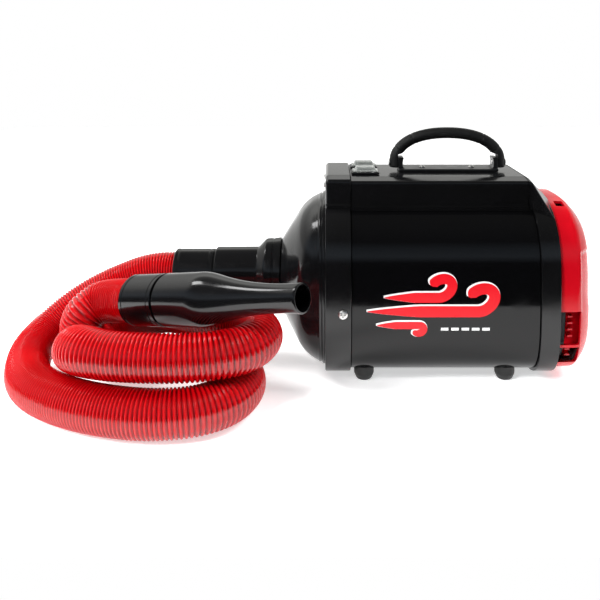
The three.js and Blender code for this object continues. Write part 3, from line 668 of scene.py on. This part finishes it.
def make_nozzle():
    inner = []
    for x, radius in NOZZLE_OUTLINE[3:-2]:
        inner.append((x, radius - np.interp(x, (0, NOZZLE_LENGTH), (2.1, 1.6))))
    inner.append((NOZZLE_LENGTH, 12.3))
    profile = NOZZLE_OUTLINE + inner[::-1] + [(0, 25)]
    shape = turned(profile, 132, ripple=fluted(4, 44, 0.45, 26.9))
    made = build("nozzle_moulded", *nozzle_place(shape), BLACK, crease=40)
    return finish_piece(made, "nozzle", "gloss_black", "nozzle")


def make_spigot():
    outer = [
        (-206.8, 28.2), (-206, 28.9), (-203, 29), (-158, 29.4), (-156.4, 29.9), (-150.5, 36.2),
        (-149, 37.4), (-147.6, 38.6), (-146, 39.2), (-139.5, 39.5), (-138.9, 38.9), (-137.7, 38.9),
        (-137.1, 39.6),
        (-131, 40.3), (-129.6, 40.1), (-129.1, 39.4),
    ]
    inner = [(-129.1, 38), (-143, 37.9), (-143.2, 35.8), (-156, 27.1), (-206.8, 27.1)]
    shape = turned(outer + inner, 132)
    made = build("outlet_spigot_moulded", *moved(shape, (0, 0, AXIS)), BLACK)
    return finish_piece(made, "housing", "gloss_black", "outlet_spigot")


outlet_cuff_piece = make_outlet_cuff()
nozzle_cuff_piece = make_nozzle_cuff()
nozzle_piece = make_nozzle()
make_spigot()

finish_piece(hose_piece, "housing", "hose_red", "hose")


# ---- nose and body shells
NOSE_FLANGE = [
    (-52, 93, 0), (-76.4, 93, 0), (-77, 93, 0), (-78.4, 93.3, 0), (-79.8, 92.9, 0), (-80.4, 91.4, 0),
]
NOSE_BEAD = [(-80.9, 91, 0), (-82.2, 91.3, 0.01), (-83.6, 91.1, 0.02), (-84.3, 90.2, 0.03)]
NOSE_BOWL = [
    (-86, 89.6, 0.045), (-95, 85, 0.15), (-104, 77.5, 0.32), (-114, 63.5, 0.57), (-123, 49.5, 0.85),
    (-127.5, 42, 1),
]


def smooth_stations(stations, steps):
    """More stations along a smooth curve through the given ones."""
    return [tuple(point) for point in smooth_route([np.array(s, float) for s in stations], steps)]


SIDE_SCREW_PLACE = {"x": -58, "z": 84}
DECK_SCREW_PLACE = {"y": 28, "z": 209}
SCREW_HOLE = 2.3  # radius


def side_screw_holes():
    """Cutters for the screws that hold the nose in the front band."""
    x, z = SIDE_SCREW_PLACE["x"], SIDE_SCREW_PLACE["z"]
    return [moved(rod(-20, 20, SCREW_HOLE), (x, side * 100, z), turn_side(-side)) for side in SIDES.values()]


def make_nose():
    bowl = smooth_stations(NOSE_BOWL, 7)
    neck = [(-128.1, 40.4, 1), (-128.3, 38, 1), (-128.9, 37.2, 1), (-142, 37.2, 1)]
    outer = NOSE_FLANGE + NOSE_BEAD + bowl + neck
    inner = [(x + 1.8, size - 2.6, roundness) for x, size, roundness in bowl[:-4:3]]
    inner += [(-127, 36.4, 1), (-128.5, 34.7, 1), (-142, 34.7, 1)]
    inner = [(-52, 90.5, 0), (-78, 89.2, 0)] + inner
    made = build("nose_moulded", *shell(outer, inner), BLACK, crease=50)
    carve(made, side_screw_holes(), crease=50)
    return finish_piece(made, "housing", "gloss_black", "nose_cone")


def make_barrel():
    outer = [(-48.7, 96.4), (-48.2, 97), (0, 97), (50, 97), (100, 97), (151.2, 97), (151.7, 96.4)]
    inner = [(-48.7, 95), (151.7, 95)]
    made = build("barrel_enamelled", *shell(outer, inner, 224), ENAMEL)
    hole = rod(0, 40, 2.4)
    cutters = [moved(hole, (x, side * 65, 0), TURN_UP) for x in ENDS.values() for side in SIDES.values()]
    cutters.append(block((-10, 30), (-12, 12), (150, 215)))
    carve(made, cutters)
    return finish_piece(made, "housing", "barrel_black", "barrel_shell")


FLANGE_RISE = 12.5


def deck_ring(x, side, side_top, flat, top, foot, inset=0.0, soft=3.2, flange=0.0):
    """The deck's section at x: upright sides, sloped shoulders, a flat top and a small foot flange."""
    side, side_top, flat, top = side - inset, side_top - inset, flat - inset, top - inset
    half = [(side, foot), (side, side_top), (flat, top)]
    if flange:
        ledge = foot + FLANGE_RISE
        half[:1] = [(side + flange, foot), (side + flange, ledge), (side, ledge + 1)]
    left = [(-y, z) for y, z in reversed(half)]
    radii = [0] * (len(half) - 2) + [soft, soft]
    outline = softened(half + left, radii + radii[::-1], steps=5)
    return np.insert(outline, 0, x, axis=1)


DECK = {"side": 60, "side_top": 218, "flat": 44, "top": 221, "foot": 182}
DECK_BLOCK = {"side": 62, "side_top": 220, "flat": 46, "top": 223, "foot": 180}
DECK_LENGTH = (-48.7, 148)
GLAND_PLACE = (120, 60, 206)


def body_plug(x0, x1, size):
    """A solid length of the body's section, to cut with."""
    return loft([section(x0, size), section(x1, size)])


def make_band():
    outer = [(-77, 99), (-76.6, 99.7), (-75.8, 100), (-50.2, 100), (-49.4, 99.7), (-49, 99)]
    inner = [(-77, 93.5), (-49, 93.5)]
    made = build("front_band_moulded", *shell(outer, inner, 224), BLACK)
    insets = [(-77, 4.2), (-76.7, 2.9), (-76, 1.7), (-74.8, 0.7), (-73, 0), (-49.5, 0), (-49, 0.5)]
    solid = loft([deck_ring(x, **DECK_BLOCK, inset=inset, soft=3.6, flange=1.2) for x, inset in insets])
    crown = build("crown", *solid, BLACK)
    inside = loft([deck_ring(x, 59.5, 217.5, 44, 220.5, 174) for x in (-74, -48)])
    carve(crown, [inside, body_plug(-78, -48, 99)])
    carve(made, [shape_of(crown)], "UNION")
    y, z = DECK_SCREW_PLACE["y"], DECK_SCREW_PLACE["z"]
    deck_holes = [moved(rod(-20, 20, SCREW_HOLE), (-70, side * y, z)) for side in SIDES.values()]
    carve(made, side_screw_holes() + deck_holes)
    return finish_piece(made, "housing", "gloss_black", "front_band")


SWITCH_X = -31
SWITCH_Y = 20.5
BRACKET_SCREWS = {"front": 38, "rear": 96}


def make_deck():
    start, end = DECK_LENGTH
    insets = [(start, 0.6), (start + 0.6, 0), (end - 0.6, 0), (end, 0.6)]
    foot = dict(DECK, foot=178)
    solid = loft([deck_ring(x, **foot, inset=inset, flange=1.6) for x, inset in insets])
    made = build("deck_cover_moulded", *solid, BLACK)
    inside = loft([deck_ring(x, 57.5, 215.8, 42, 218.5, 174) for x in (start - 1, end + 1)])
    cutters = [body_plug(start - 2, end + 2, 97.3), inside]
    for side in SIDES.values():
        y = side * SWITCH_Y
        cutters.append(block((SWITCH_X - 13.8, SWITCH_X + 13.8), (y - 10.3, y + 10.3), (210, 226)))
    hole = rod(0, 40, SCREW_HOLE)
    cutters += [moved(hole, (x, 0, 200), TURN_UP) for x in BRACKET_SCREWS.values()]
    cutters.append(moved(rod(-10, 10, 6.9, 32), GLAND_PLACE, turn_side(1)))
    carve(made, cutters)
    return finish_piece(made, "housing", "gloss_black", "deck_cover")


def make_rear_ring():
    outer = [(152, 99), (152.4, 99.7), (153.2, 100), (171.8, 100), (172.6, 99.7), (173, 99)]
    inner = [(152, 95), (160, 95), (160, 84), (162, 84), (162, 93), (173, 93)]
    made = build("rear_ring_moulded", *shell(outer, inner, 224), BLACK)
    ramp = loft([
        deck_ring(148.4, 60, 218, 44, 221, 176), deck_ring(150.5, 60, 217.6, 44, 220.3, 176),
        deck_ring(152.2, 60.3, 216.7, 44, 219, 176), deck_ring(172.9, 76, 178.5, 44, 197, 172),
    ])
    crown = build("crown", *ramp, BLACK)
    carve(crown, [body_plug(140, 151.8, 97.2), body_plug(151.8, 176, 99)])
    carve(made, [shape_of(crown)], "UNION")
    slots = []
    for side in SIDES.values():
        y = (side * 99.2, side * 102)
        slots.append(block((164.5, 171), (min(y), max(y)), (131.6, 133.2), corner=0.3))
    carve(made, slots)
    return finish_piece(made, "housing", "gloss_black", "rear_ring")


CAP_START = 173.3
CAP_OUTLINE = [
    (0, 95.2), (0.6, 95.9), (1.6, 96), (18, 95.5), (20, 95.2), (22, 94.4), (24.5, 92.5), (28, 89.2),
    (31, 86.1),
    (33.6, 83), (35.5, 80.3), (36.7, 77.8), (37.5, 75), (37.7, 72.5),
]
RECESS = {"low": 88, "high": 146, "start": 22.5, "depth": 3.4}


def ease(value, low, high):
    """Rises smoothly from 0 at low to 1 at high."""
    share = np.clip((value - low) / (high - low), 0, 1)
    return share ** 2 * (3 - 2 * share)


def cap_recess(points):
    """Pushes a finger recess into each side of the cap's chamfer."""
    x, y, z = points[:, 0], points[:, 1], points[:, 2]
    start = CAP_START + RECESS["start"]
    inside = ease(z, RECESS["low"] - 1.5, RECESS["low"] + 3)
    inside = inside * (1 - ease(z, RECESS["high"] - 1.2, RECESS["high"] + 0.6))
    inside = inside * ease(x, start, start + 1.6) * ease(np.abs(y), 58, 66)
    points[:, 1] -= np.sign(y) * inside * RECESS["depth"]
    return points


def make_cap():
    outline = CAP_OUTLINE[:3] + smooth_stations(CAP_OUTLINE[3:], 3)
    outer = [section(CAP_START + x, size, sides=288) for x, size in outline]
    rings = [cap_recess(ring) for ring in outer]
    last = outer[-1]
    middle = np.array([last[0, 0], 0, AXIS])
    for share, rise in ((0.94, 0.05), (0.9, -0.7), (0.86, -0.7), (0.5, -0.7), (0.1, -0.7)):
        rings.append(middle + (last - middle) * share + (rise, 0, 0))
    inner = [(0, 93.4), (17, 92.9), (21, 91), (26, 86.6), (30, 81.8), (32.6, 77.4), (34.4, 72)]
    inner_rings = [cap_recess(section(CAP_START + x, size, sides=288)) for x, size in inner]
    last_inner = inner_rings[-1]
    inner_middle = np.array([last_inner[0, 0], 0, AXIS])
    inner_rings.append(inner_middle + (last_inner - inner_middle) * 0.1)
    made = build("intake_cap_moulded", *loft(inner_rings[::-1] + rings), RED, crease=38)
    cutters = []
    for side in SIDES.values():
        low_y, high_y = sorted((side * 60, side * 110))
        for low, high in ((25, 45), (48, 85)):
            window = (CAP_START - 2, CAP_START + 22.2)
            cutters.append(block(window, (low_y, high_y), (low, high), corner=1.2))
        cutters.append(block((181.3, 191.3), (side * 44 - 6, side * 44 + 6), (170, 215), corner=1.2))
    carve(made, cutters, crease=38)
    baffle = shell([(183, 84), (207.4, 73.5)], [(183, 81.6), (207.4, 71.2)], 176)
    ribs = []
    for side in SIDES.values():
        for z in (31, 37, 55, 62, 69, 76):
            reach = 80 if z < 46 else 88
            low_y, high_y = sorted((side * (reach - 16), side * (reach - 0.5)))
            ribs.append(block((183.5, 189), (low_y, high_y), (z, z + 1.8), corner=0.4))
    made = build("intake_cap_moulded", *together(shape_of(made), baffle, *ribs), RED, crease=38)
    return finish_piece(made, "intake_cap", "cap_red", "rear_cap")


make_nose()
make_barrel()
make_band()
make_deck()
make_rear_ring()
make_cap()


# ---- filter and grille
def make_foam():
    """The open-cell filter pad, with a slightly uneven edge."""
    rings = []
    for x, inset in ((164.7, 1.2), (165.4, 0.3), (166.5, 0), (179.5, 0), (180.7, 0.4), (181.2, 1.4)):
        ring = section(x, 89 - inset, sides=144)
        wave = 0.25 * np.sin(np.arange(144) * 1.7) + 0.2 * np.sin(np.arange(144) * 0.61 + x)
        middle = np.array([x, 0, AXIS])
        rings.append(middle + (ring - middle) * (1 - (wave[:, None] + 0.45) / 100))
    made = build("foam_filter_pad", *loft(rings), FOAM)
    return finish_piece(made, "housing", "foam_black", "foam_filter")


make_foam()


# ---- screws and feet
def cross_screw(head, height, shank, length):
    """A pan-head screw about X with a cross recess, its head's underside at x = 0."""
    profile = [
        (-height, 0.01), (-height, head * 0.42), (-height * 0.93, head * 0.62),
        (-height * 0.72, head * 0.84), (-height * 0.4, head * 0.97), (-height * 0.12, head),
        (0, head * 0.97), (0, shank), (length - 1, shank), (length, shank * 0.4), (length, 0.01),
    ]
    body = turned(profile, 40, closed=False)
    long, wide, depth = head * 0.62, head * 0.17, height * 0.6
    cross = [
        (-long, -wide), (-wide, -wide), (-wide, -long), (wide, -long), (wide, -wide), (long, -wide),
        (long, wide), (wide, wide), (wide, long), (-wide, long), (-wide, wide), (-long, wide),
    ]
    levels = ((-height - 1, 1.0), (-height + depth, 0.7))
    recess = loft([np.insert(np.array(cross) * share, 0, x, axis=1) for x, share in levels])
    return body, recess


SMALL_SCREW = (3.4, 1.8, 1.9, 9)  # head radius, head height, shank radius, shank length
FOOT_SCREW = (3.6, 2, 1.9, 9)
SIDE_SCREW = (5.2, 2.6, 1.9, 14)


def make_screw(node, size, place, turn):
    body, recess = cross_screw(*size)
    made = build(f"{node}_cross", *moved(body, place, turn), STEEL)
    carve(made, [moved(recess, place, turn)])
    return finish_piece(made, "housing", "bright_steel", node)


def make_foot(end, side):
    x, y = ENDS[end], SIDES[side] * 65
    profile = [
        (0.05, 0.01), (0.05, 7.2), (0.4, 7.9), (1.6, 8.9), (6, 10.8), (7, 11), (15.4, 11), (15.9, 10.5),
        (16.7, 10.5), (17.2, 11), (24, 11), (24, 0.01),
    ]
    shape = moved(turned(profile, 64, closed=False), (x, y, 0), TURN_UP)
    made = build(f"foot_{end}_{side}_rubber", *shape, RUBBER)
    recess = turned([(-1, 0.01), (-1, 4.6), (4, 4.4), (4, 0.01)], 40, closed=False)
    bores = [moved(shape, (x, y, 0), TURN_UP) for shape in (recess, rod(-1, 30, 2.4))]
    carve(made, [*bores, body_plug(-60, 160, 97.2)])
    finish_piece(made, "housing", "rubber_black", f"foot_{end}_{side}")
    make_screw(f"foot_screw_{end}_{side}", FOOT_SCREW, (x, y, 3.7), TURN_UP)


for end_name in ENDS:
    for side_name in SIDES:
        make_foot(end_name, side_name)
for side_name, sign in SIDES.items():
    side_place = (SIDE_SCREW_PLACE["x"], sign * 100.3, SIDE_SCREW_PLACE["z"])
    make_screw(f"side_screw_{side_name}", SIDE_SCREW, side_place, turn_side(-sign))
    deck_place = (-77.3, sign * DECK_SCREW_PLACE["y"], DECK_SCREW_PLACE["z"])
    make_screw(f"deck_screw_{side_name}", SMALL_SCREW, deck_place, None)
for end_name, screw_x in BRACKET_SCREWS.items():
    make_screw(f"bracket_screw_{end_name}", SMALL_SCREW, (screw_x, 0, 224.8), TURN_DOWN)


# ---- switches
BEZEL_BOTTOM = 221.3
BEZEL_TOP = 223.8


def make_switch_body(side):
    x, y = SWITCH_X, SIDES[side] * SWITCH_Y
    bezel = block((x - 16, x + 16), (y - 12.5, y + 12.5), (BEZEL_BOTTOM, BEZEL_TOP), edge=0.8, corner=2.2)
    made = build(f"switch_body_{side}_moulded", *bezel, SATIN)
    body = block((x - 13.5, x + 13.5), (y - 10, y + 10), (202.8, BEZEL_BOTTOM + 0.5), corner=0.8)
    tabs = [
        block((x + shift - 0.4, x + shift + 0.4), (y - 3, y + 3), (199.3, 203.5))
        for shift in (-8, 0, 8)
    ]
    carve(made, [body, *tabs], "UNION")
    pocket = block((x - 12.9, x + 12.9), (y - 7.8, y + 7.8), (215.3, 225), corner=0.8)
    carve(made, [pocket])
    finish_piece(made, "housing", "satin_black", f"switch_body_{side}")


def make_rocker(side):
    """A curved paddle, tilted, with a white bar and ring on its two ends."""
    x, y = SWITCH_X, SIDES[side] * SWITCH_Y
    span = np.linspace(-12.2, 12.2, 25)
    top = [(u, 1.4 + 2.0 * (abs(u) / 12.2) ** 1.7) for u in span]
    belly = [(11.2 * math.cos(a), -1 + 2.6 * math.sin(a)) for a in np.linspace(0, -math.pi, 15)]
    outline = softened(top + belly, 0.5, 2)
    paddle = prism(outline, -7.3, 7.3, "Y", edge=0.7)
    turn = Matrix.Rotation(math.radians(8), 4, "Y")
    place = (x, y, 219.6)
    made = build(f"switch_rocker_{side}_paddle", *moved(paddle, place, turn), SATIN, crease=45)
    finish_piece(made, f"rocker_{side}", "satin_black", f"switch_rocker_{side}")
    bar = block((6.6, 9.8), (-0.45, 0.45), (2.2, 2.95), corner=0.2)
    ring = turned([(2.0, 2.1), (2.0, 1.4), (2.9, 1.4), (2.9, 2.1)], 32)
    marks = together(bar, moved(ring, (-8.2, 0, 0), TURN_UP))
    mark = build(f"switch_rocker_{side}_marks", *moved(marks, place, turn), PRINT_WHITE)
    finish_piece(mark, f"rocker_{side}", "satin_black")


def make_hood(side):
    """A clear soft cover: a skirt, a sloped shoulder and a raised top."""
    x, y = SWITCH_X, SIDES[side] * SWITCH_Y
    bottom = BEZEL_TOP + 0.3

    def ring(half_x, half_y, z, corner):
        outline = softened(rectangle((-half_x, half_x), (-half_y, half_y)), corner, 5)
        return np.insert(outline + (x, y), 2, z, axis=1)

    outer = [
        ring(14.5, 11, bottom, 3), ring(14.5, 11, bottom + 0.8, 3), ring(14.1, 10.6, bottom + 1.1, 3),
        ring(12.2, 8.8, bottom + 1.3, 3), ring(11.6, 8.2, bottom + 1.8, 3), ring(10.9, 7.5, bottom + 4.2, 3),
        ring(10.3, 6.9, bottom + 4.8, 3), ring(9.4, 6, bottom + 5, 3),
    ]
    inner = [
        ring(9.2, 5.8, bottom + 4.1, 2.4), ring(10.4, 7, bottom + 3.6, 2.4), ring(10.9, 7.5, bottom, 2.4),
    ]
    made = build(f"switch_hood_{side}_clear", *loft(inner + outer), CLEAR, crease=50)
    finish_piece(made, "housing", "clear_cover", f"switch_hood_{side}")


def make_legend(side):
    """Plain tick marks on the deck in front of each switch."""
    x, y = SWITCH_X, SIDES[side] * SWITCH_Y
    across = (y - 11.9, y - 11.9 + 1.8)
    upward = (BEZEL_TOP - 0.1, BEZEL_TOP + 0.08)
    bars = [
        block((x + shift - 0.35, x + shift + 0.35), across, upward, corner=0.2)
        for shift in (-9, -7.5, -6, 0, 7.5, 9)
    ]
    made = build(f"switch_legend_{side}", *together(*bars), PRINT_WHITE)
    finish_piece(made, "housing", "satin_black")


for side_name in SIDES:
    make_switch_body(side_name)
    make_rocker(side_name)
    make_hood(side_name)
    make_legend(side_name)


# ---- handle and bracket
HANDLE = {
    "centre": 67.3, "half_span": 61.2, "spring": 232, "rise": 33.6, "power": 2.2, "leg_end": 224.6,
    "radius": 6.7,
}
PIVOT_Z = 230.5
BRACKET = {"start": 9, "plate_side": 14, "ear_side": 9, "ear_top": 237.4, "plate_top": 224.5, "ear": 5}


def mirror_x(shape):
    points, faces = shape
    return points * (-1, 1, 1) + (2 * HANDLE["centre"], 0, 0), faces


def make_bracket():
    start, inside = BRACKET["start"], BRACKET["start"] + BRACKET["ear"]
    end = 2 * HANDLE["centre"] - start
    across = (-BRACKET["plate_side"], BRACKET["plate_side"])
    plate = block((start, end), across, (BEZEL_BOTTOM, BRACKET["plate_top"]), edge=0.7, corner=2)
    made = build("handle_bracket_moulded", *plate, SATIN)
    low, level = BEZEL_BOTTOM + 0.4, BRACKET["plate_top"] - 0.6
    outline = softened(
        [(start, low), (start, BRACKET["ear_top"]), (inside + 1.2, BRACKET["ear_top"]),
         (inside, 232.5), (inside, level), (inside + 14, level), (inside + 14, low)],
        [0, 1.6, 1.2, 4, 8, 0, 0], steps=5)
    ear = prism(outline, -BRACKET["ear_side"], BRACKET["ear_side"], "Y", edge=0.6)
    carve(made, [ear, mirror_x(ear)], "UNION")
    hole = rod(0, 40, SCREW_HOLE)
    cutters = [moved(hole, (x, 0, 205), TURN_UP) for x in BRACKET_SCREWS.values()]
    cutters.append(moved(rod(0, 140, 3, 32), (0, 0, PIVOT_Z)))
    carve(made, cutters)
    finish_piece(made, "housing", "satin_black", "handle_bracket")


def handle_line():
    centre, half_span, power = HANDLE["centre"], HANDLE["half_span"], HANDLE["power"]
    points = [(centre - half_span, 0, HANDLE["leg_end"])]
    for angle in np.linspace(math.pi, 0, 25):
        across = math.cos(angle)
        x = centre + half_span * math.copysign(abs(across) ** (2 / power), across)
        points.append((x, 0, HANDLE["spring"] + HANDLE["rise"] * math.sin(angle) ** (2 / power)))
    points.append((centre + half_span, 0, HANDLE["leg_end"]))
    return smooth_route([np.array(p, float) for p in points], 12)


GRIP_SEAMS = [0.13, 0.255, 0.745, 0.87]  # shares of the grip's length


def grip_radius(share):
    """The sleeve swells a little between its seams, and each seam is a shallow groove."""
    radius = HANDLE["radius"] + 0.05 - 0.2 * np.clip(np.sin(math.pi * share), 0, 1)
    radius += 0.55 * np.clip(1 - np.minimum(share, 1 - share) / 0.12, 0, 1) ** 0.5
    for seam in GRIP_SEAMS:
        radius -= 0.5 * np.exp(-((share - seam) / 0.0045) ** 2)
    for wrap in np.concatenate([np.linspace(0.15, 0.235, 7), np.linspace(0.765, 0.85, 7)]):
        radius -= 0.16 * np.exp(-((share - wrap) / 0.0035) ** 2)
    return radius


def make_grip():
    curve = handle_line()
    total = arc_length(curve)[-1]
    shares = np.linspace(0, 1, 361)
    path = along(curve, shares * total)
    across, upward = travelling_frame(path)
    angle = np.arange(48) * 2 * math.pi / 48
    wide = grip_radius(shares)
    ends = np.clip(np.minimum(shares, 1 - shares) * total / 2.5, 0, 1)
    wide = wide * (0.62 + 0.38 * np.sqrt(1 - (1 - ends) ** 2))
    rings = [
        path[i] + wide[i] * (across[i] * np.cos(angle)[:, None] + upward[i] * np.sin(angle)[:, None])
        for i in range(len(path))
    ]
    made = build("handle_grip_sleeved", *loft(rings), GRIP, crease=60)
    knuckle = moved(rod(8.6, 24, 12.2, 64), (0, 0, PIVOT_Z))
    carve(made, [knuckle, mirror_x(knuckle), moved(rod(-5, 140, 3.1, 32), (0, 0, PIVOT_Z))], crease=60)
    finish_piece(made, "handle", "rubber_black", "handle_grip")


def make_pivot_pins():
    outside = HANDLE["centre"] - HANDLE["half_span"] - 6.75 - 0.3
    profile = [
        (outside - 1.2, 0.01), (outside - 1.2, 2.6), (outside - 0.9, 3.6), (outside - 0.3, 4.2),
        (outside, 4.2), (outside, 2.7), (14, 2.7), (14.5, 2.2), (14.5, 0.01),
    ]
    pin = moved(turned(profile, 40, closed=False), (0, 0, PIVOT_Z))
    for end, shape in (("front", pin), ("rear", mirror_x(pin))):
        made = build(f"handle_pin_{end}_turned", *shape, STEEL)
        finish_piece(made, "housing", "bright_steel", f"handle_pin_{end}")


make_bracket()
make_grip()
make_pivot_pins()


# ---- cord gland
def make_gland():
    """A ribbed rubber gland for the mains cord, on the far side of the deck."""
    outer = [(0.3, 6), (0.3, 9.2), (0.7, 9.5), (3, 9.5), (3.5, 9.1), (3.6, 7.4)]
    for rib in range(4):
        start = 3.9 + 2 * rib
        radius = 7.4 - 0.45 * rib
        outer += [(start, radius - 0.9), (start + 0.5, radius - 0.9)]
        outer += [(start + 0.8, radius), (start + 1.6, radius)]
    outer += [(11.9, 5.6), (12, 5)]
    inner = [(12, 3.7), (-6, 3.7), (-6, 6)]
    made = build("cord_gland_ribbed", *moved(turned(outer + inner, 48), GLAND_PLACE, turn_side(1)), RUBBER)
    finish_piece(made, "housing", "rubber_black", "cord_gland")


make_gland()


# ---- side decal
def barrel_side(z, size=97.0):
    """Half width of the barrel's side at height z."""
    upward = z - AXIS
    height = np.where(upward >= 0, size, size * 0.97)
    power = np.where(upward >= 0, 2.8, 3.8)
    return size * (1 - (np.abs(upward) / height) ** power) ** (1 / power)


def skin(line, half, proud, thickness=0.12, rows=6):
    """A thin closed ribbon along an (x, z) line on the barrel's near side, half wide to each side."""
    along_line = np.gradient(line, axis=0)
    along_line /= np.linalg.norm(along_line, axis=1)[:, None]
    normal = np.stack([-along_line[:, 1], along_line[:, 0]], 1)
    share = np.linspace(-1, 1, rows)
    flat = line[:, None, :] + normal[:, None, :] * (half[:, None] * share)[:, :, None]
    x, z = flat[:, :, 0], flat[:, :, 1]
    rings = []
    for i in range(len(line)):
        front = np.stack([x[i], -(barrel_side(z[i]) + proud), z[i]], 1)
        back = np.stack([x[i], -(barrel_side(z[i]) + proud - thickness), z[i]], 1)[::-1]
        rings.append(np.concatenate([front, back]))
    return loft(rings)


def breeze(start, end, curl, turns=0.72, slant=0.22):
    """An (x, z) line that runs level and ends in a curl of the given radius, up when it is positive."""
    level = np.linspace(start, end, 24)
    angle = np.linspace(0, turns * 2 * math.pi, 40)[1:]
    radius = curl * (1 - 0.25 * angle / angle[-1])
    hook = np.stack([end[0] + abs(curl) * np.sin(angle), end[1] + curl - radius * np.cos(angle)], 1)
    line = np.concatenate([level, hook])
    line[:, 0] += slant * (line[:, 1] - start[1])
    return line


# start, end, curl radius, half width of each air line
BREEZES = [((-14, 101), (44, 101), 11, 5.4), ((-32, 86), (86, 86), 13.5, 6), ((-22, 71), (24, 71), -4.6, 4)]
DASHES = (46, 57, 68, 79, 90)
DASH = {"length": 8, "z": 67, "half": 1.5}


def tapered(line, half):
    """Half widths that start from a point and end round."""
    share = arc_length(line) / arc_length(line)[-1]
    return half * np.clip(share / 0.3, 0.02, 1) ** 0.7 * np.clip((1 - share) / 0.03, 0.05, 1) ** 0.5


def make_decals():
    lines = [(breeze(start, end, curl), half) for start, end, curl, half in BREEZES]
    white = [skin(line + (-0.9, 0.9), tapered(line, half) + 0.9, 0.14) for line, half in lines]
    for x in DASHES:
        line = np.array([(x, DASH["z"]), (x + DASH["length"], DASH["z"])])
        white.append(skin(line, np.full(2, DASH["half"]), 0.14))
    outline = build("side_decal_outline", *together(*white), PRINT_WHITE)
    finish_piece(outline, "housing", "barrel_black")
    red = [skin(line, tapered(line, half), 0.26) for line, half in lines]
    fill = build("side_decal_breezes", *together(*red), PRINT_RED)
    finish_piece(fill, "housing", "cap_red")


make_decals()


# ---- inner CAD parts
INNER_FINISH = {
    "filter_grille": SATIN, "terminal_block": SATIN, "end_bracket": SATIN, "motor_gasket": RUBBER,
    "acoustic_liner": FOAM, "motor_bulkhead": ALUMINIUM, "fan_housing": ALUMINIUM, "impeller": ALUMINIUM,
    "armature": STEEL, "stator": COPPER,
}
for node, made_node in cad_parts.items():
    base = node.removesuffix("_left").removesuffix("_right")
    if base in INNER_FINISH:
        made_node.data.materials.clear()
        made_node.data.materials.append(INNER_FINISH[base])


# ---- stage and light
FLOOR_X = (-1.6, 1.6)
FLOOR_Y = (-0.345, 2.6)  # the sheet ends in front of the dryer, so its sides show the darker room above it


def make_floor():
    corners = [(x, y, 0) for y in FLOOR_Y for x in FLOOR_X]
    mesh = bpy.data.meshes.new("floor")
    mesh.from_pydata(corners, [], [(0, 1, 3, 2)])
    floor = bpy.data.objects.new("floor", mesh)
    mesh.materials.append(floor_paint())
    bpy.context.scene.collection.objects.link(floor)


def make_softbox(name, place, target, size, power, mirrored=True):
    data = bpy.data.lights.new(name, "AREA")
    data.shape = "RECTANGLE"
    data.size, data.size_y = size
    data.energy = power
    light = bpy.data.objects.new(name, data)
    light.location = place
    light.rotation_euler = (Vector(target) - Vector(place)).to_track_quat("-Z", "Y").to_euler()
    light.visible_glossy = mirrored
    bpy.context.scene.collection.objects.link(light)


# the studio seen by reflections: sine of the elevation, colour
ROOM = [  # on the camera's side
    (0.0, 0.03), (0.1, (0.04, 0.04, 0.045)), (0.24, (0.42, 0.49, 0.56)), (0.42, (0.28, 0.33, 0.38)),
    (0.6, 0.07), (1.0, (0.12, 0.12, 0.11)),
]
BACKDROP = [  # behind the dryer
    (0.0, (1.1, 1.1, 1.08)), (0.1, (1.1, 1.1, 1.08)), (0.15, (0.62, 0.62, 0.6)), (0.35, (0.62, 0.62, 0.6)),
    (0.6, (1.4, 1.4, 1.35)), (0.67, (0.5, 0.5, 0.47)),
    (0.82, (0.16, 0.16, 0.15)), (1.0, 0.1),
]


def make_world():
    """A white backdrop, and a darker room on the camera's side for the gloss to show."""
    world = bpy.data.worlds.new("studio")
    world.use_nodes = True
    tree = world.node_tree
    parts = tree.nodes.new("ShaderNodeSeparateXYZ")
    tree.links.new(tree.nodes.new("ShaderNodeTexCoord").outputs["Generated"], parts.inputs[0])
    behind = tree.nodes.new("ShaderNodeMapRange")
    behind.inputs["From Min"].default_value = -0.05
    behind.inputs["From Max"].default_value = 0.25
    tree.links.new(parts.outputs["Y"], behind.inputs["Value"])
    room = color_ramp(tree, parts.outputs["Z"], ROOM)
    backdrop = color_ramp(tree, parts.outputs["Z"], BACKDROP)
    around = color_mix(tree, behind.outputs["Result"], room, backdrop)
    seen = tree.nodes.new("ShaderNodeLightPath").outputs["Is Camera Ray"]
    shown = color_mix(tree, seen, around, (1, 1, 1, 1))
    tree.links.new(shown, tree.nodes["Background"].inputs["Color"])
    bpy.context.scene.world = world


make_floor()
make_softbox("key", (-1.0, -1.1, 1.2), (-0.15, -0.05, 0.1), (0.5, 0.5), 22, mirrored=False)
make_softbox("glint_front", (-1.0, -1.1, 1.2), (-0.15, -0.05, 0.1), (0.5, 0.5), 14)
make_softbox("glint_left", (-1.3, 0.3, 1.5), (-0.1, 0, 0.1), (0.4, 0.4), 6)
make_softbox("high_left", (-1.3, 0.3, 1.5), (-0.1, 0, 0.1), (0.7, 0.7), 34, mirrored=False)
make_softbox("high_right", (1.3, 0.1, 1.5), (0.1, 0, 0.1), (0.7, 0.7), 30, mirrored=False)
make_world()
bpy.context.scene.view_settings.view_transform = "Standard"
